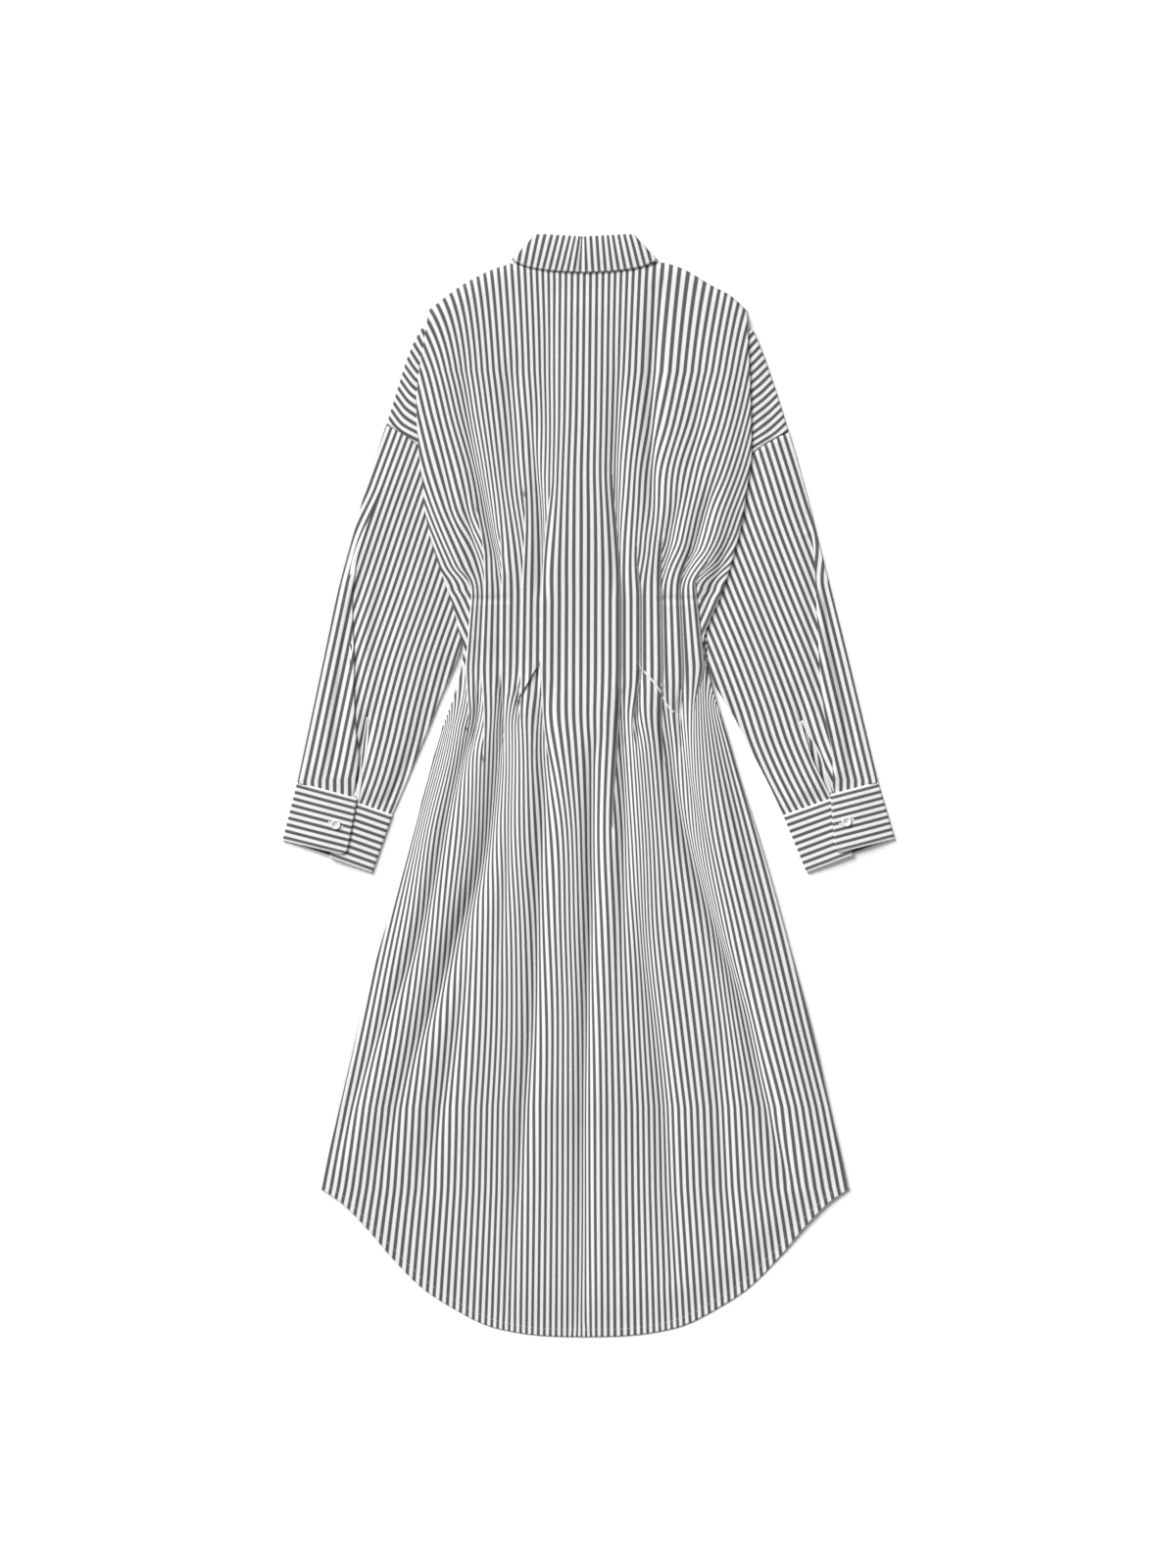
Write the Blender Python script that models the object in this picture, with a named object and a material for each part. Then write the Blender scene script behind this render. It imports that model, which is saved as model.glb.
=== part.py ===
# Shirt dress laid flat on its front: back panel uppermost, sleeves folded down beside the skirt.
# Plan sizes are in millimetres: x across, y towards the collar, z up from the surface it lies on.
# The meshes are made in metres.

import math

import bmesh
import bpy
import numpy as np
from mathutils import Vector

MM = 0.001

# ---- driving dimensions, in millimetres -------------------------------------------------------

CLOTH = 1.0                 # wall of a single panel
CUFF_CLOTH = 1.2            # wall of an interlined cuff
SEAM_GAP = 0.3              # clearance between pieces at a seam or between layers
CENTRE_X = -4.5             # middle of the collar and of the front closing
LAP_WIDTH = 30.0            # how far one front laps over the other
FOLD_RADIUS = 0.75          # bend of a panel's wall where its edge turns under
LIE = 1.5 * CLOTH + SEAM_GAP + 2 * FOLD_RADIUS      # middle of the back over its own turned edge

BUTTON_RADIUS = 5.5
BUTTON_HEIGHT = 2.0
BUTTON_SIDES = 16
BUTTON_CLEARANCE = 0.35     # between a front button and the front over it
COLLAR_BUTTON_Y = 515.0
FIRST_BUTTON_Y = 447.0
BUTTON_SPACING = 95.0
BUTTON_COUNT = 9

FRONT_HEM_SHARE = 0.64      # depth of the front's curved hem beside the back's
SHOULDER_Y = 533.0          # where the shoulder line meets the folded edges
SIDE_CORNER_Y = -453.0      # where the side seams end
HEM_BOTTOM_Y = -620.0

TUCK_TOP_Y = 209.0          # the waist tucks are sewn down between these two lines
TUCK_END_Y = 132.0
TUCK_STEP = 1.8             # height of a tuck's lip over the cloth beside it


def table(names, *rows):
    """Rows of numbers as named columns."""
    return dict(zip(names.split(), np.array(rows, dtype=float).T))


# The back at each height: the folded edges, the lines of the nine main valleys between its folds,
# how far the edges are lifted by the sleeves under them, how far they turn under,
# and how high the folds stand.
BACK = table(
    "y     left    v1    v2    v3   v4    v5  v6   v7   v8   v9  right  lift_l lift_r turn fold",
    (533,  -178, -154, -130,  -88, -58,   -8, 40,  76, 118, 152,  177,   2.7,   2.7,  2.0, 0.6),
    (500,  -190, -161, -136,  -89, -62,   -8, 38,  75, 117, 154,  180,   2.9,   2.9,  8.0, 1.2),
    (463,  -193, -160, -139,  -87, -65,   -8, 35,  73, 115, 155,  181,   2.9,   2.9, 18.0, 2.0),
    (386,  -192, -152, -129,  -84, -62,   -8, 32,  71, 109, 149,  182,   2.9,   2.9, 22.0, 3.0),
    (309,  -180, -141, -114,  -81, -53,   -8, 34,  72, 100, 134,  175,   2.9,   2.9, 22.0, 3.6),
    (254,  -170, -129, -102,  -78, -51,   -8, 35,  67,  89, 117,  162,   2.9,   2.9, 18.0, 3.4),
    (214,  -151, -118,  -96,  -75, -52,   -8, 37,  61,  83, 106,  149,   2.9,   2.9, 10.0, 1.4),
    (170,  -140, -117,  -97,  -75, -53,   -8, 37,  60,  82, 104,  135,   2.9,   2.9,  5.0, 0.5),
    (128,  -145, -119,  -97,  -75, -53,   -7, 37,  60,  82, 104,  132,   0.2,   2.4,  2.0, 1.2),
    (89,   -156, -125,  -93,  -76, -51,   -3, 39,  59,  90, 106,  144,   0.0,   0.0,  2.0, 3.4),
    (1,    -183, -148, -102,  -81, -48,    5, 42,  57,  98, 114,  172,   0.0,   0.0,  2.0, 5.0),
    (-109, -213, -172, -123, -105, -53,    5, 42,  57, 128, 153,  206,   0.0,   0.0,  2.0, 5.4),
    (-241, -250, -216, -170, -141, -59,   -1, 41,  73, 174, 208,  243,   0.0,   0.0,  2.0, 4.8),
    (-362, -279, -262, -212, -166, -70,   -4, 43,  85, 201, 244,  271,   0.0,   0.0,  2.0, 3.8),
    (-453, -301, -287, -240, -182, -76,   -4, 47,  91, 222, 263,  292,   0.0,   0.0,  2.0, 1.6),
)
VALLEYS = ("left", "v1", "v2", "v3", "v4", "v5", "v6", "v7", "v8", "v9", "right")

# How full the fold is that stands between one valley and the next, above and below the waist.
FULLNESS = table(
    "above  below",
    (0.70, 0.55),
    (0.80, 0.90),
    (1.15, 0.60),
    (0.70, 1.15),
    (0.75, 0.80),
    (0.60, 0.75),
    (0.80, 0.45),
    (1.10, 1.20),
    (0.95, 0.70),
    (0.75, 0.55),
)

# Shoulder lines, from the left shoulder point to the neck and from the neck to the right one.
SHOULDER_LINE = table(
    "x     y",
    (-178,  533),
    (-148,  556),
    (-116,  574),
    (-92,   583),
    (-76,   585.9),
    (67,    586.5),
    (84,    585.4),
    (105,   579),
    (136,   561),
    (165,   544),
    (177,   532),
)
NECK_REACH = 70.4           # distance of the shoulders' neck ends from the centre

# Rise of the curved hem above its lowest point, by distance from its middle.
HEM_RISE = table(
    "reach rise",
    (0,      0),
    (40,     1),
    (75,     5),
    (107,   13),
    (142,   31),
    (182,   58),
    (214,   90),
    (246,  126),
    (270,  149),
    (298,  168),
)
HEM_MIDDLE_X = -4.0

# Sleeves: each section runs from the outer edge to the inner edge, bowed towards the neck.
LEFT_SLEEVE = table(
    "t  outer_x outer_y inner_x inner_y bow",
    (0,   -227,    403,   -141,    164,  36),
    (1,   -241,    361,   -147,    143,  22),
    (2,   -254,    317,   -156,    121,  12),
    (3,   -266,    273,   -166,     98,   5),
    (4,   -278,    229,   -175,     75,   0),
    (6,   -297,    141,   -193,     31,   0),
    (7.5, -311,     75,   -206,     -1,   0),
    (9, -326.37,  3.08, -219.97, -33.42,  0),
)
RIGHT_SLEEVE = table(
    "t  outer_x outer_y inner_x inner_y bow",
    (0,    225,    395,    135,    130,  44),
    (1,    235,    361,    141,    113,  28),
    (2,    247,    317,    148,    101,  15),
    (3,    258,    273,    157,     87,   6),
    (4,    269,    229,    166,     71,   0),
    (6,    291,    141,    187,     30,   0),
    (7.5,  307,     75,    203,     -1,   0),
    (9,  324.17, 3.28, 218.67, -34.02,   0),
)

# Body cloth beyond the folded edge, down to the armhole seam.
LEFT_SHOULDER = table(
    "t  outer_x outer_y inner_x inner_y bow",
    (0,   -187,    512,   -163,    500,   0),
    (1,   -197,    493,   -150,    444,   2),
    (2,   -206,    470,   -138,    374,   7),
    (3,   -214,    444,   -131,    286,  17),
    (4, -226.58, 403.15, -140.58, 164.15, 36),
)
RIGHT_SHOULDER = table(
    "t  outer_x outer_y inner_x inner_y bow",
    (0,    184,    510,    162,    498,   0),
    (1,    191,    494,    146,    438,   3),
    (2,    200,    471,    130,    360,  10),
    (3,    211,    439,    119,    268,  22),
    (4,  224.57, 395.14, 134.57, 130.14, 44),
)

# Sleeve slit above the cuff: its place across the sleeve at each section, and how far it gapes.
LEFT_SLIT = table("t across gape", (6.4, 0.52, 0.0), (7.7, 0.565, 3.0), (9, 0.618, 2.4))
RIGHT_SLIT = table("t across gape", (6.4, 0.52, 0.0), (7.7, 0.505, 5.5), (9, 0.486, 2.4))

# Cuffs: corners, and how far across the upper layer laps at its top and bottom edges.
LEFT_CUFF = dict(
    top_outer=(-326.5, 2.7), top_inner=(-220.1, -33.8),
    bottom_outer=(-343.0, -63.0), bottom_inner=(-243.0, -99.0),
    lap_top=0.618, lap_bottom=0.690, button=(-283.6, -45.0),
)
RIGHT_CUFF = dict(
    top_outer=(324.3, 2.9), top_inner=(218.8, -34.4),
    bottom_outer=(343.4, -61.0), bottom_inner=(245.2, -98.8),
    lap_top=0.486, lap_bottom=0.650, button=(289.4, -41.8),
)
CUFF_LAP = 18.0             # how far the cuff's lower end reaches under its upper end
CUFF_SKEW_TOP = 4.6         # how far the lapping end sits up the sleeve, at its top and bottom edge
CUFF_SKEW_BOTTOM = 7.5
CUFF_PUFF = 1.6             # how far the cuff's mouth stands open

# Collar, from centre back round the neck to centre front: the roll line and the free edge,
# by their distance from the centre. It bends round the side of the neck between two stations.
LEAF = table(
    "t  roll_x roll_y edge_x edge_y",
    (0,      0,  614.8,     0, 573.6),
    (1,    -28,  616.2,   -39, 576.0),
    (2,    -46,  617.2,   -68, 581.5),
    (2.6, -52.4, 616.9, -79.9, 586.8),
    (3.4, -52.4, 616.5, -79.9, 586.6),
    (4,    -50,    598,   -82,   562),
    (5,    -39,    568,   -79,   524),
    (6,    -22,    545,   -69,   494),
    (7,     -3,    533,   -54,   468),
)
NECK_BEND = (2.6, 3.4)      # the stations between which it bends from back to front
NECK_BEND_RADIUS = 2.2
NECK_MIDDLE = 2.8           # height of the bend's centre
LEAF_RETURN = 4.0           # the leaf's own cloth inside the roll, down to the stand's seam
ROLL_LENGTH = 0.8           # length of the roll's bend
ROLL_ANGLES = (90, 45, 0, -45)
LEAF_SHARES = (0.0, 0.35, 0.7, 1.0)

# Neckline seam of the stand over the same stations, by its distance from the centre.
STAND = table(
    "t  reach seam_y",
    (0,     0,  585.2),
    (1,    40,  586.2),
    (2,    62,  588.4),
    (2.6,  72,  590.0),
    (3.4,  73,  587.0),
    (4,    70,    574),
    (5,    55,    540),
    (6,    32,    517),
    (7,     0,    504),
)
COLLAR_STATIONS = (7, 6.2, 5.4, 4.7, 4, 3.4, 3.27, 3.13, 3, 2.87, 2.73, 2.6, 2.2, 1.5, 0.7)
STAND_LAP = 15.0            # how far the stand's ends reach past the centre front
BACK_NECK_STATIONS = slice(0, 4)
FRONT_NECK_STATIONS = slice(4, 9)


# ---- small helpers ----------------------------------------------------------------------------

def smooth(value):
    """0 to 1 with soft ends."""
    value = min(max(value, 0.0), 1.0)
    return value * value * (3.0 - 2.0 * value)


def along(rows, name, at, by=None):
    """A column of a table read at any place, on a smooth curve through its rows."""
    knots = rows[by or next(iter(rows))]
    values = rows[name]
    if knots[0] > knots[-1]:
        knots, values = knots[::-1], values[::-1]
    at = min(max(at, knots[0]), knots[-1])
    steps = np.diff(values) / np.diff(knots)
    slopes = np.gradient(values, knots)
    slopes[1:-1][steps[1:] * steps[:-1] <= 0] = 0.0
    cell = min(int(np.searchsorted(knots, at, side="right")) - 1, len(knots) - 2)
    span = knots[cell + 1] - knots[cell]
    u = (at - knots[cell]) / span
    return float(
        values[cell] * (2 * u**3 - 3 * u**2 + 1)
        + slopes[cell] * span * (u**3 - 2 * u**2 + u)
        + values[cell + 1] * (3 * u**2 - 2 * u**3)
        + slopes[cell + 1] * span * (u**3 - u**2)
    )


def spread(first, last, count):
    """Evenly spaced values, both ends included."""
    return [first + (last - first) * i / (count - 1) for i in range(count)]


def mix(a, b, share):
    return a + (b - a) * share


def button_heights():
    return [COLLAR_BUTTON_Y] + [FIRST_BUTTON_Y - BUTTON_SPACING * i for i in range(BUTTON_COUNT)]


def hem_y(x, share=1.0):
    """Height of the curved hem at x, for the back or, with a smaller share, for the fronts."""
    rise = along(HEM_RISE, "rise", abs(x - HEM_MIDDLE_X))
    drop = SIDE_CORNER_Y - HEM_BOTTOM_Y
    return SIDE_CORNER_Y - (drop - rise) * share


def inside_body(x, y):
    """Distance in from the nearer folded edge of the body, negative outside it."""
    return min(x - along(BACK, "left", y), along(BACK, "right", y) - x)


def neck_y(across, stations):
    """A panel's neckline just clear of the stand's seam."""
    seam = {name: values[stations] for name, values in STAND.items()}
    y = along(seam, "seam_y", across, by="reach")
    slope = y - along(seam, "seam_y", across - 1, by="reach")
    return y - SEAM_GAP * math.hypot(1, slope)


def back_top(x):
    across = abs(x - CENTRE_X)
    if across < NECK_REACH:
        return neck_y(across, BACK_NECK_STATIONS)
    return along(SHOULDER_LINE, "y", x)


def front_top(x, side):
    across = side * (x - CENTRE_X)
    if across < NECK_REACH:
        return neck_y(max(across, 0.0), FRONT_NECK_STATIONS)
    return along(SHOULDER_LINE, "y", x)


COLLAR_RISE = dict(from_y=430.0, slope=25.0, reach=122.0, side_slope=30.0)   # fronts over the leaf
BUTTON_RISE = dict(flat=2.0, slope=34.0)                                     # fronts over a button


def front_under(x, y):
    """Height of the fronts' lower face: it lies flat, but passes over the buttons and the collar."""
    across = abs(x - CENTRE_X)
    collar = smooth((y - COLLAR_RISE["from_y"]) / COLLAR_RISE["slope"])
    collar *= smooth((COLLAR_RISE["reach"] - across) / COLLAR_RISE["side_slope"])
    bump = 0.0
    for button_y in button_heights():
        from_rim = math.hypot(x - CENTRE_X, y - button_y) - BUTTON_RADIUS
        away = max(from_rim - BUTTON_RISE["flat"], 0.0)
        bump = max(bump, smooth(1 - away / BUTTON_RISE["slope"]))
    return max((CLOTH + SEAM_GAP) * collar, (BUTTON_HEIGHT + BUTTON_CLEARANCE) * bump)


# ---- materials and meshes ---------------------------------------------------------------------

def material(name, colour, roughness):
    made = bpy.data.materials.new(name)
    made.use_nodes = True
    shader = made.node_tree.nodes["Principled BSDF"]
    shader.inputs["Base Color"].default_value = (*colour, 1.0)
    shader.inputs["Roughness"].default_value = roughness
    shader.inputs["Metallic"].default_value = 0.0
    return made


def cloth_wall(name, rows, finish, thickness=CLOTH, slit_from=None):
    """A wall of cloth through rows of points on its middle surface, closed all round.

    With slit_from, the rows are rings: the first and last columns are one point
    up to that row and the two lips of a slit after it.
    """
    mesh = bpy.data.meshes.new(name)
    shape = bmesh.new()
    grid = []
    for number, row in enumerate(rows):
        points = [shape.verts.new(Vector(point) * MM) for point in row]
        if slit_from is not None and number <= slit_from:
            shape.verts.remove(points.pop())
            points.append(points[0])
        grid.append(points)
    for upper, lower in zip(grid, grid[1:]):
        for i in range(len(upper) - 1):
            corners = [upper[i], upper[i + 1], lower[i + 1], lower[i]]
            shape.faces.new(list(dict.fromkeys(corners)))
    bmesh.ops.recalc_face_normals(shape, faces=shape.faces)
    shape.to_mesh(mesh)
    shape.free()
    mesh.materials.append(finish)
    mesh.shade_smooth()
    made = bpy.data.objects.new(name, mesh)
    bpy.context.scene.collection.objects.link(made)
    solidify = made.modifiers.new("cloth thickness", "SOLIDIFY")
    solidify.thickness = thickness * MM
    solidify.offset = 0.0
    solidify.use_even_offset = True
    return made


def button(name, centre, under, finish):
    """A round button with a bevelled rim, its lower face at the height under."""
    mesh = bpy.data.meshes.new(name)
    shape = bmesh.new()
    bmesh.ops.create_cone(
        shape, cap_ends=True, segments=BUTTON_SIDES,
        radius1=BUTTON_RADIUS * MM, radius2=BUTTON_RADIUS * MM, depth=BUTTON_HEIGHT * MM,
    )
    middle = Vector((centre[0], centre[1], under + BUTTON_HEIGHT / 2)) * MM
    bmesh.ops.translate(shape, verts=shape.verts, vec=middle)
    shape.to_mesh(mesh)
    shape.free()
    mesh.materials.append(finish)
    made = bpy.data.objects.new(name, mesh)
    bpy.context.scene.collection.objects.link(made)
    return made


# ---- back panel -------------------------------------------------------------------------------

LIP = 0.12                                     # a fold's steep side, as a share of its width
FOLD_STEPS_LEFT = (0.0, LIP, 0.40, 0.70)       # places between two valleys; lips face outwards
FOLD_STEPS_RIGHT = (0.0, 0.30, 0.60, 1 - LIP)
CENTRE_FOLDS = (4, 5)                          # the two beside the centre have no sewn lip
FOLD_POWER = 2.4                               # how squarely a fold's crown is filled
EDGE_ANGLES = (-90, -45, 0, 45)

# Rows follow the shoulders and neckline at the top and the curved hem at the bottom.
BACK_LEVELS = (463, 416, 370, 325, 281, 245, 220, 204, 170, 138, 124, 104, 78, 45, 2,
               -48, -105, -165, -228, -294, -362)
TOP_SHARES = (0.0, 0.16, 0.4, 0.7)
HEM_SHARES = (0.25, 0.48, 0.68, 0.85, 1.0)

SLEEVE_EASE = 70.0          # how far in the sleeves below lift the back
CLOSING_EASE = 60.0         # how far the closing's buttons below lift it, and how high
CLOSING_RISE = 2.3
SEAM_EASE = 14.0            # how far it settles to the shoulder seams
HEM_EASE = 50.0             # and to the hem
HEM_ON_FLOOR = 262.0        # the hem reaches past the fronts within this distance of its middle


def back_columns():
    """Places across the back: the number of the valley to the left, and the share to the next."""
    places = []
    folds = len(VALLEYS) - 1
    for fold in range(folds):
        steps = FOLD_STEPS_LEFT if fold < folds // 2 else FOLD_STEPS_RIGHT
        places += [(fold, step) for step in steps]
    places.append((folds - 1, 1.0))
    return places


def back_x(place, y):
    """Where a column lies at height y, between the bends of the two folded edges."""
    fold, share = place
    inset = CLOTH / 2 + FOLD_RADIUS
    first = along(BACK, VALLEYS[fold], y) + (inset if fold == 0 else 0.0)
    last = along(BACK, VALLEYS[fold + 1], y) - (inset if fold == len(VALLEYS) - 2 else 0.0)
    return mix(first, last, share)


def fold_height(place, y):
    """Height of the folds or tucks over the panel's lie."""
    fold, share = place
    above = smooth((y - TUCK_END_Y) / (TUCK_TOP_Y - TUCK_END_Y))
    fullness = mix(FULLNESS["below"][fold], FULLNESS["above"][fold], above)
    crown = along(BACK, "fold", y) * fullness * (1 - abs(2 * share - 1) ** FOLD_POWER)
    left_half = fold < (len(VALLEYS) - 1) // 2
    from_lip = (share - LIP if left_half else 1 - LIP - share) / (1 - LIP)
    lip = 1 - from_lip if from_lip >= 0 else 1 + from_lip * (1 - LIP) / LIP
    if fold in CENTRE_FOLDS:
        lip *= smooth(abs(2 * share - 1))
    sewn = smooth((y - TUCK_END_Y + 30) / 25) * smooth((TUCK_TOP_Y + 30 - y) / 25)
    return mix(crown, TUCK_STEP * max(lip, 0.0), sewn)


def back_lie(x, y):
    """Height of the middle of the back panel where no fold lifts it."""
    near_left = math.exp(-(((x - along(BACK, "left", y)) / SLEEVE_EASE) ** 2))
    near_right = math.exp(-(((along(BACK, "right", y) - x) / SLEEVE_EASE) ** 2))
    lift = along(BACK, "lift_l", y) * near_left + along(BACK, "lift_r", y) * near_right
    buttoned = smooth((SHOULDER_Y + 27 - y) / 30) * smooth((y + 400) / 60)
    closing = CLOSING_RISE * math.exp(-(((x - CENTRE_X) / CLOSING_EASE) ** 2)) * buttoned
    return LIE + lift + closing


def back_height(place, x, y):
    """Height of the panel's middle, easing down to the shoulder seam and to the hem."""
    to_top = back_top(x) - y
    to_hem = y - hem_y(x)
    lie = back_lie(x, y)
    seam = front_under(x, y) + 1.5 * CLOTH + SEAM_GAP
    seam = mix(lie, seam, smooth(inside_body(x, y) / 12))
    lie = mix(seam, lie, smooth(to_top / SEAM_EASE))
    free = smooth((HEM_ON_FLOOR - abs(x - HEM_MIDDLE_X)) / SLEEVE_EASE)
    at_hem = mix(LIE, CLOTH / 2, free)
    lie = mix(at_hem, lie, smooth(to_hem / HEM_EASE))
    return lie + fold_height(place, y) * smooth(to_top / 40 + 0.1)


def back_plan(places):
    """Plan places of the back's rows, from the shoulders and neckline down to the hem."""
    plan = []
    for share in TOP_SHARES:
        row = []
        for place in places:
            x = back_x(place, SHOULDER_Y)
            lower = (back_x(place, BACK_LEVELS[0]), BACK_LEVELS[0])
            row.append((mix(x, lower[0], share), mix(back_top(x), lower[1], share)))
        plan.append(row)
    plan += [[(back_x(place, y), y) for place in places] for y in BACK_LEVELS]
    for share in HEM_SHARES:
        row = []
        for place in places:
            x = back_x(place, SIDE_CORNER_Y)
            upper = (back_x(place, BACK_LEVELS[-1]), BACK_LEVELS[-1])
            row.append((mix(upper[0], x, share), mix(upper[1], hem_y(x), share)))
        plan.append(row)
    return plan


def edge_bend(point, side):
    """The folded edge beyond a row's end: from under it, round the bend and up to it."""
    x, y, z = point
    turn = along(BACK, "turn", y)
    points = [(x - side * turn, y, z - 2 * FOLD_RADIUS)]
    for angle in EDGE_ANGLES:
        out = FOLD_RADIUS * math.cos(math.radians(angle))
        up = FOLD_RADIUS * (math.sin(math.radians(angle)) - 1)
        points.append((x + side * out, y, z + up))
    return points


def back_panel(finish):
    places = back_columns()
    rows = []
    for plan in back_plan(places):
        row = [(x, y, back_height(place, x, y)) for place, (x, y) in zip(places, plan)]
        rows.append(edge_bend(row[0], -1) + row + edge_bend(row[-1], 1)[::-1])
    return cloth_wall("back_panel", rows, finish)


# ---- fronts -----------------------------------------------------------------------------------

CHEST_COLUMNS = (-LAP_WIDTH / 2, 0.0, 16.0, 26.0, 47.0, 60.0, 74.0, 89.0)    # across from the centre
NECK_POINT = 74.5           # where the last of them meets the shoulder line
FRONT_INSET = 0.6           # a front's side edge inside the back's folded edge
LAP_EASE = (26.0, 10.0)     # the left front begins to rise over the right one here, within this


def neck_columns():
    """The same columns at the neckline, where they meet the stand's sections."""
    stations = COLLAR_STATIONS[1:5]
    return [*CHEST_COLUMNS[:3], *(along(STAND, "reach", t) for t in stations), NECK_POINT]


def front_columns(places, side, outer):
    """x of each column: out from the centre, then halfway to the outer edge, then the edge."""
    inner = [CENTRE_X + side * place for place in places]
    return inner + [mix(inner[-1], outer, 0.5), outer]


def front_plan(side):
    """Plan places of a front's rows: neckline and shoulder, a row beside each button, the hem."""
    edge = "left" if side < 0 else "right"
    heights = [481]
    for y in button_heights()[1:]:
        heights += [y + 7, y - 7, y - BUTTON_SPACING / 2]
    heights += [-405]
    neck = front_columns(neck_columns(), side, along(BACK, edge, SHOULDER_Y))
    plan = [[(x, front_top(x, side)) for x in neck]]
    for y in heights:
        outer = along(BACK, edge, y) - side * FRONT_INSET
        plan.append([(x, y) for x in front_columns(CHEST_COLUMNS, side, outer)])
    corner = along(BACK, edge, SIDE_CORNER_Y) - side * FRONT_INSET
    hem = front_columns(CHEST_COLUMNS, side, corner)
    plan.append([(x, hem_y(x, FRONT_HEM_SHARE)) for x in hem])
    halfway = [tuple(mix(a, b, 0.5) for a, b in zip(*pair)) for pair in zip(plan[0], plan[1])]
    return plan[:1] + [halfway] + plan[1:]


def front_middle(x, y, side):
    """Height of a front's middle surface; the left front laps over the right one."""
    start, ease = LAP_EASE
    over_lap = smooth((x - CENTRE_X + start) / ease) if side < 0 else 0.0
    return front_under(x, y) + CLOTH / 2 + over_lap * (CLOTH + SEAM_GAP)


def front_panel(name, side, finish):
    """One front, lying flat: side is -1 for the left front and 1 for the right one."""
    rows = [[(x, y, front_middle(x, y, side)) for x, y in row] for row in front_plan(side)]
    return cloth_wall(name, rows, finish)


# ---- sleeves and dropped shoulders ------------------------------------------------------------

LAYER_STEP = 1.6            # height between the two layers of a flattened sleeve, at its edges
BOW_PEAK = 0.28             # where across a section its bow is deepest
SLEEVE_LOFT = 1.6           # how far the upper layer stands off the lower one


def section_ends(rows, t):
    """Outer and inner ends of a sleeve's section, in plan."""
    outer = Vector((along(rows, "outer_x", t), along(rows, "outer_y", t)))
    inner = Vector((along(rows, "inner_x", t), along(rows, "inner_y", t)))
    return outer, inner


def section_width(rows, t):
    outer, inner = section_ends(rows, t)
    return (inner - outer).length


def up_sleeve(rows, t):
    """Direction square to a section, towards the shoulder."""
    outer, inner = section_ends(rows, t)
    chord = inner - outer
    up = Vector((-chord.y, chord.x)).normalized()
    return up if up.y > 0 else -up


def section_point(rows, t, across):
    """Plan place on a sleeve's section, with the section's bow towards the neck."""
    outer, inner = section_ends(rows, t)
    side = BOW_PEAK if across < BOW_PEAK else 1 - BOW_PEAK
    bow = along(rows, "bow", t) * (1 - ((across - BOW_PEAK) / side) ** 2)
    return outer.lerp(inner, across) + up_sleeve(rows, t) * bow


def lower_layer(plan):
    """Middle of a sleeve's lower layer: on the floor, or over the front's edge."""
    return CLOTH / 2 + (CLOTH + SEAM_GAP) * smooth((inside_body(plan.x, plan.y) + 27) / 22)


def sleeve_crown(t, across, plan, folds):
    """Loft of a sleeve's upper layer over its lower one, where the back doesn't hold it down."""
    free = 1 - smooth((inside_body(plan.x, plan.y) + 42) / 30)
    crown = SLEEVE_LOFT * (1 - (2 * across - 1) ** 2)
    for place, centre_t, length, width, height in folds:
        crown += height * math.exp(-(((across - place) / width) ** 2) - ((t - centre_t) / length) ** 2)
    return max(crown, 0.0) * free


def lower_point(rows, t, across):
    plan = section_point(rows, t, across)
    return (plan.x, plan.y, lower_layer(plan))


def upper_point(rows, t, across, folds):
    plan = section_point(rows, t, across)
    return (plan.x, plan.y, lower_layer(plan) + LAYER_STEP + sleeve_crown(t, across, plan, folds))


def edge_share(rows, t):
    """Share of a section's width that the rounded edge between its two layers takes."""
    return (CLOTH / 2 + LAYER_STEP / 2) / section_width(rows, t)


def sleeve_bend(rows, t, inner, angles):
    """The rounded edge that joins a sleeve's two layers."""
    radius = LAYER_STEP / 2
    points = []
    for angle in angles:
        in_from_edge = CLOTH / 2 + radius * (1 - math.cos(math.radians(angle)))
        share = in_from_edge / section_width(rows, t)
        plan = section_point(rows, t, 1 - share if inner else share)
        points.append((plan.x, plan.y, lower_layer(plan) + radius * (1 + math.sin(math.radians(angle)))))
    return points


# Soft folds along the sleeves: place across and along, half length, half width and height.
SLEEVE_FOLDS_LEFT = (
    (0.18, 6.2, 2.4, 0.07, -1.2),
    (0.30, 6.0, 2.6, 0.08,  1.6),
    (0.46, 7.2, 1.3, 0.05,  1.8),
    (0.60, 2.2, 1.6, 0.08,  1.4),
    (0.78, 6.0, 2.2, 0.09,  1.2),
)
SLEEVE_FOLDS_RIGHT = (
    (0.20, 5.6, 2.6, 0.07,  1.4),
    (0.36, 6.4, 2.0, 0.06,  1.8),
    (0.62, 6.6, 1.6, 0.07,  1.6),
    (0.80, 5.6, 2.4, 0.08,  1.3),
)
SLEEVE_STATIONS = (0, 0.7, 1.4, 2.2, 3.0, 3.8, 4.7, 5.6, 6.4, 7.0, 7.7, 8.4, 9)
SLIT_START = 6.4
SIDE_POINTS = 7             # columns between a slit's lip and an edge, and across the lower layer


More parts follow.
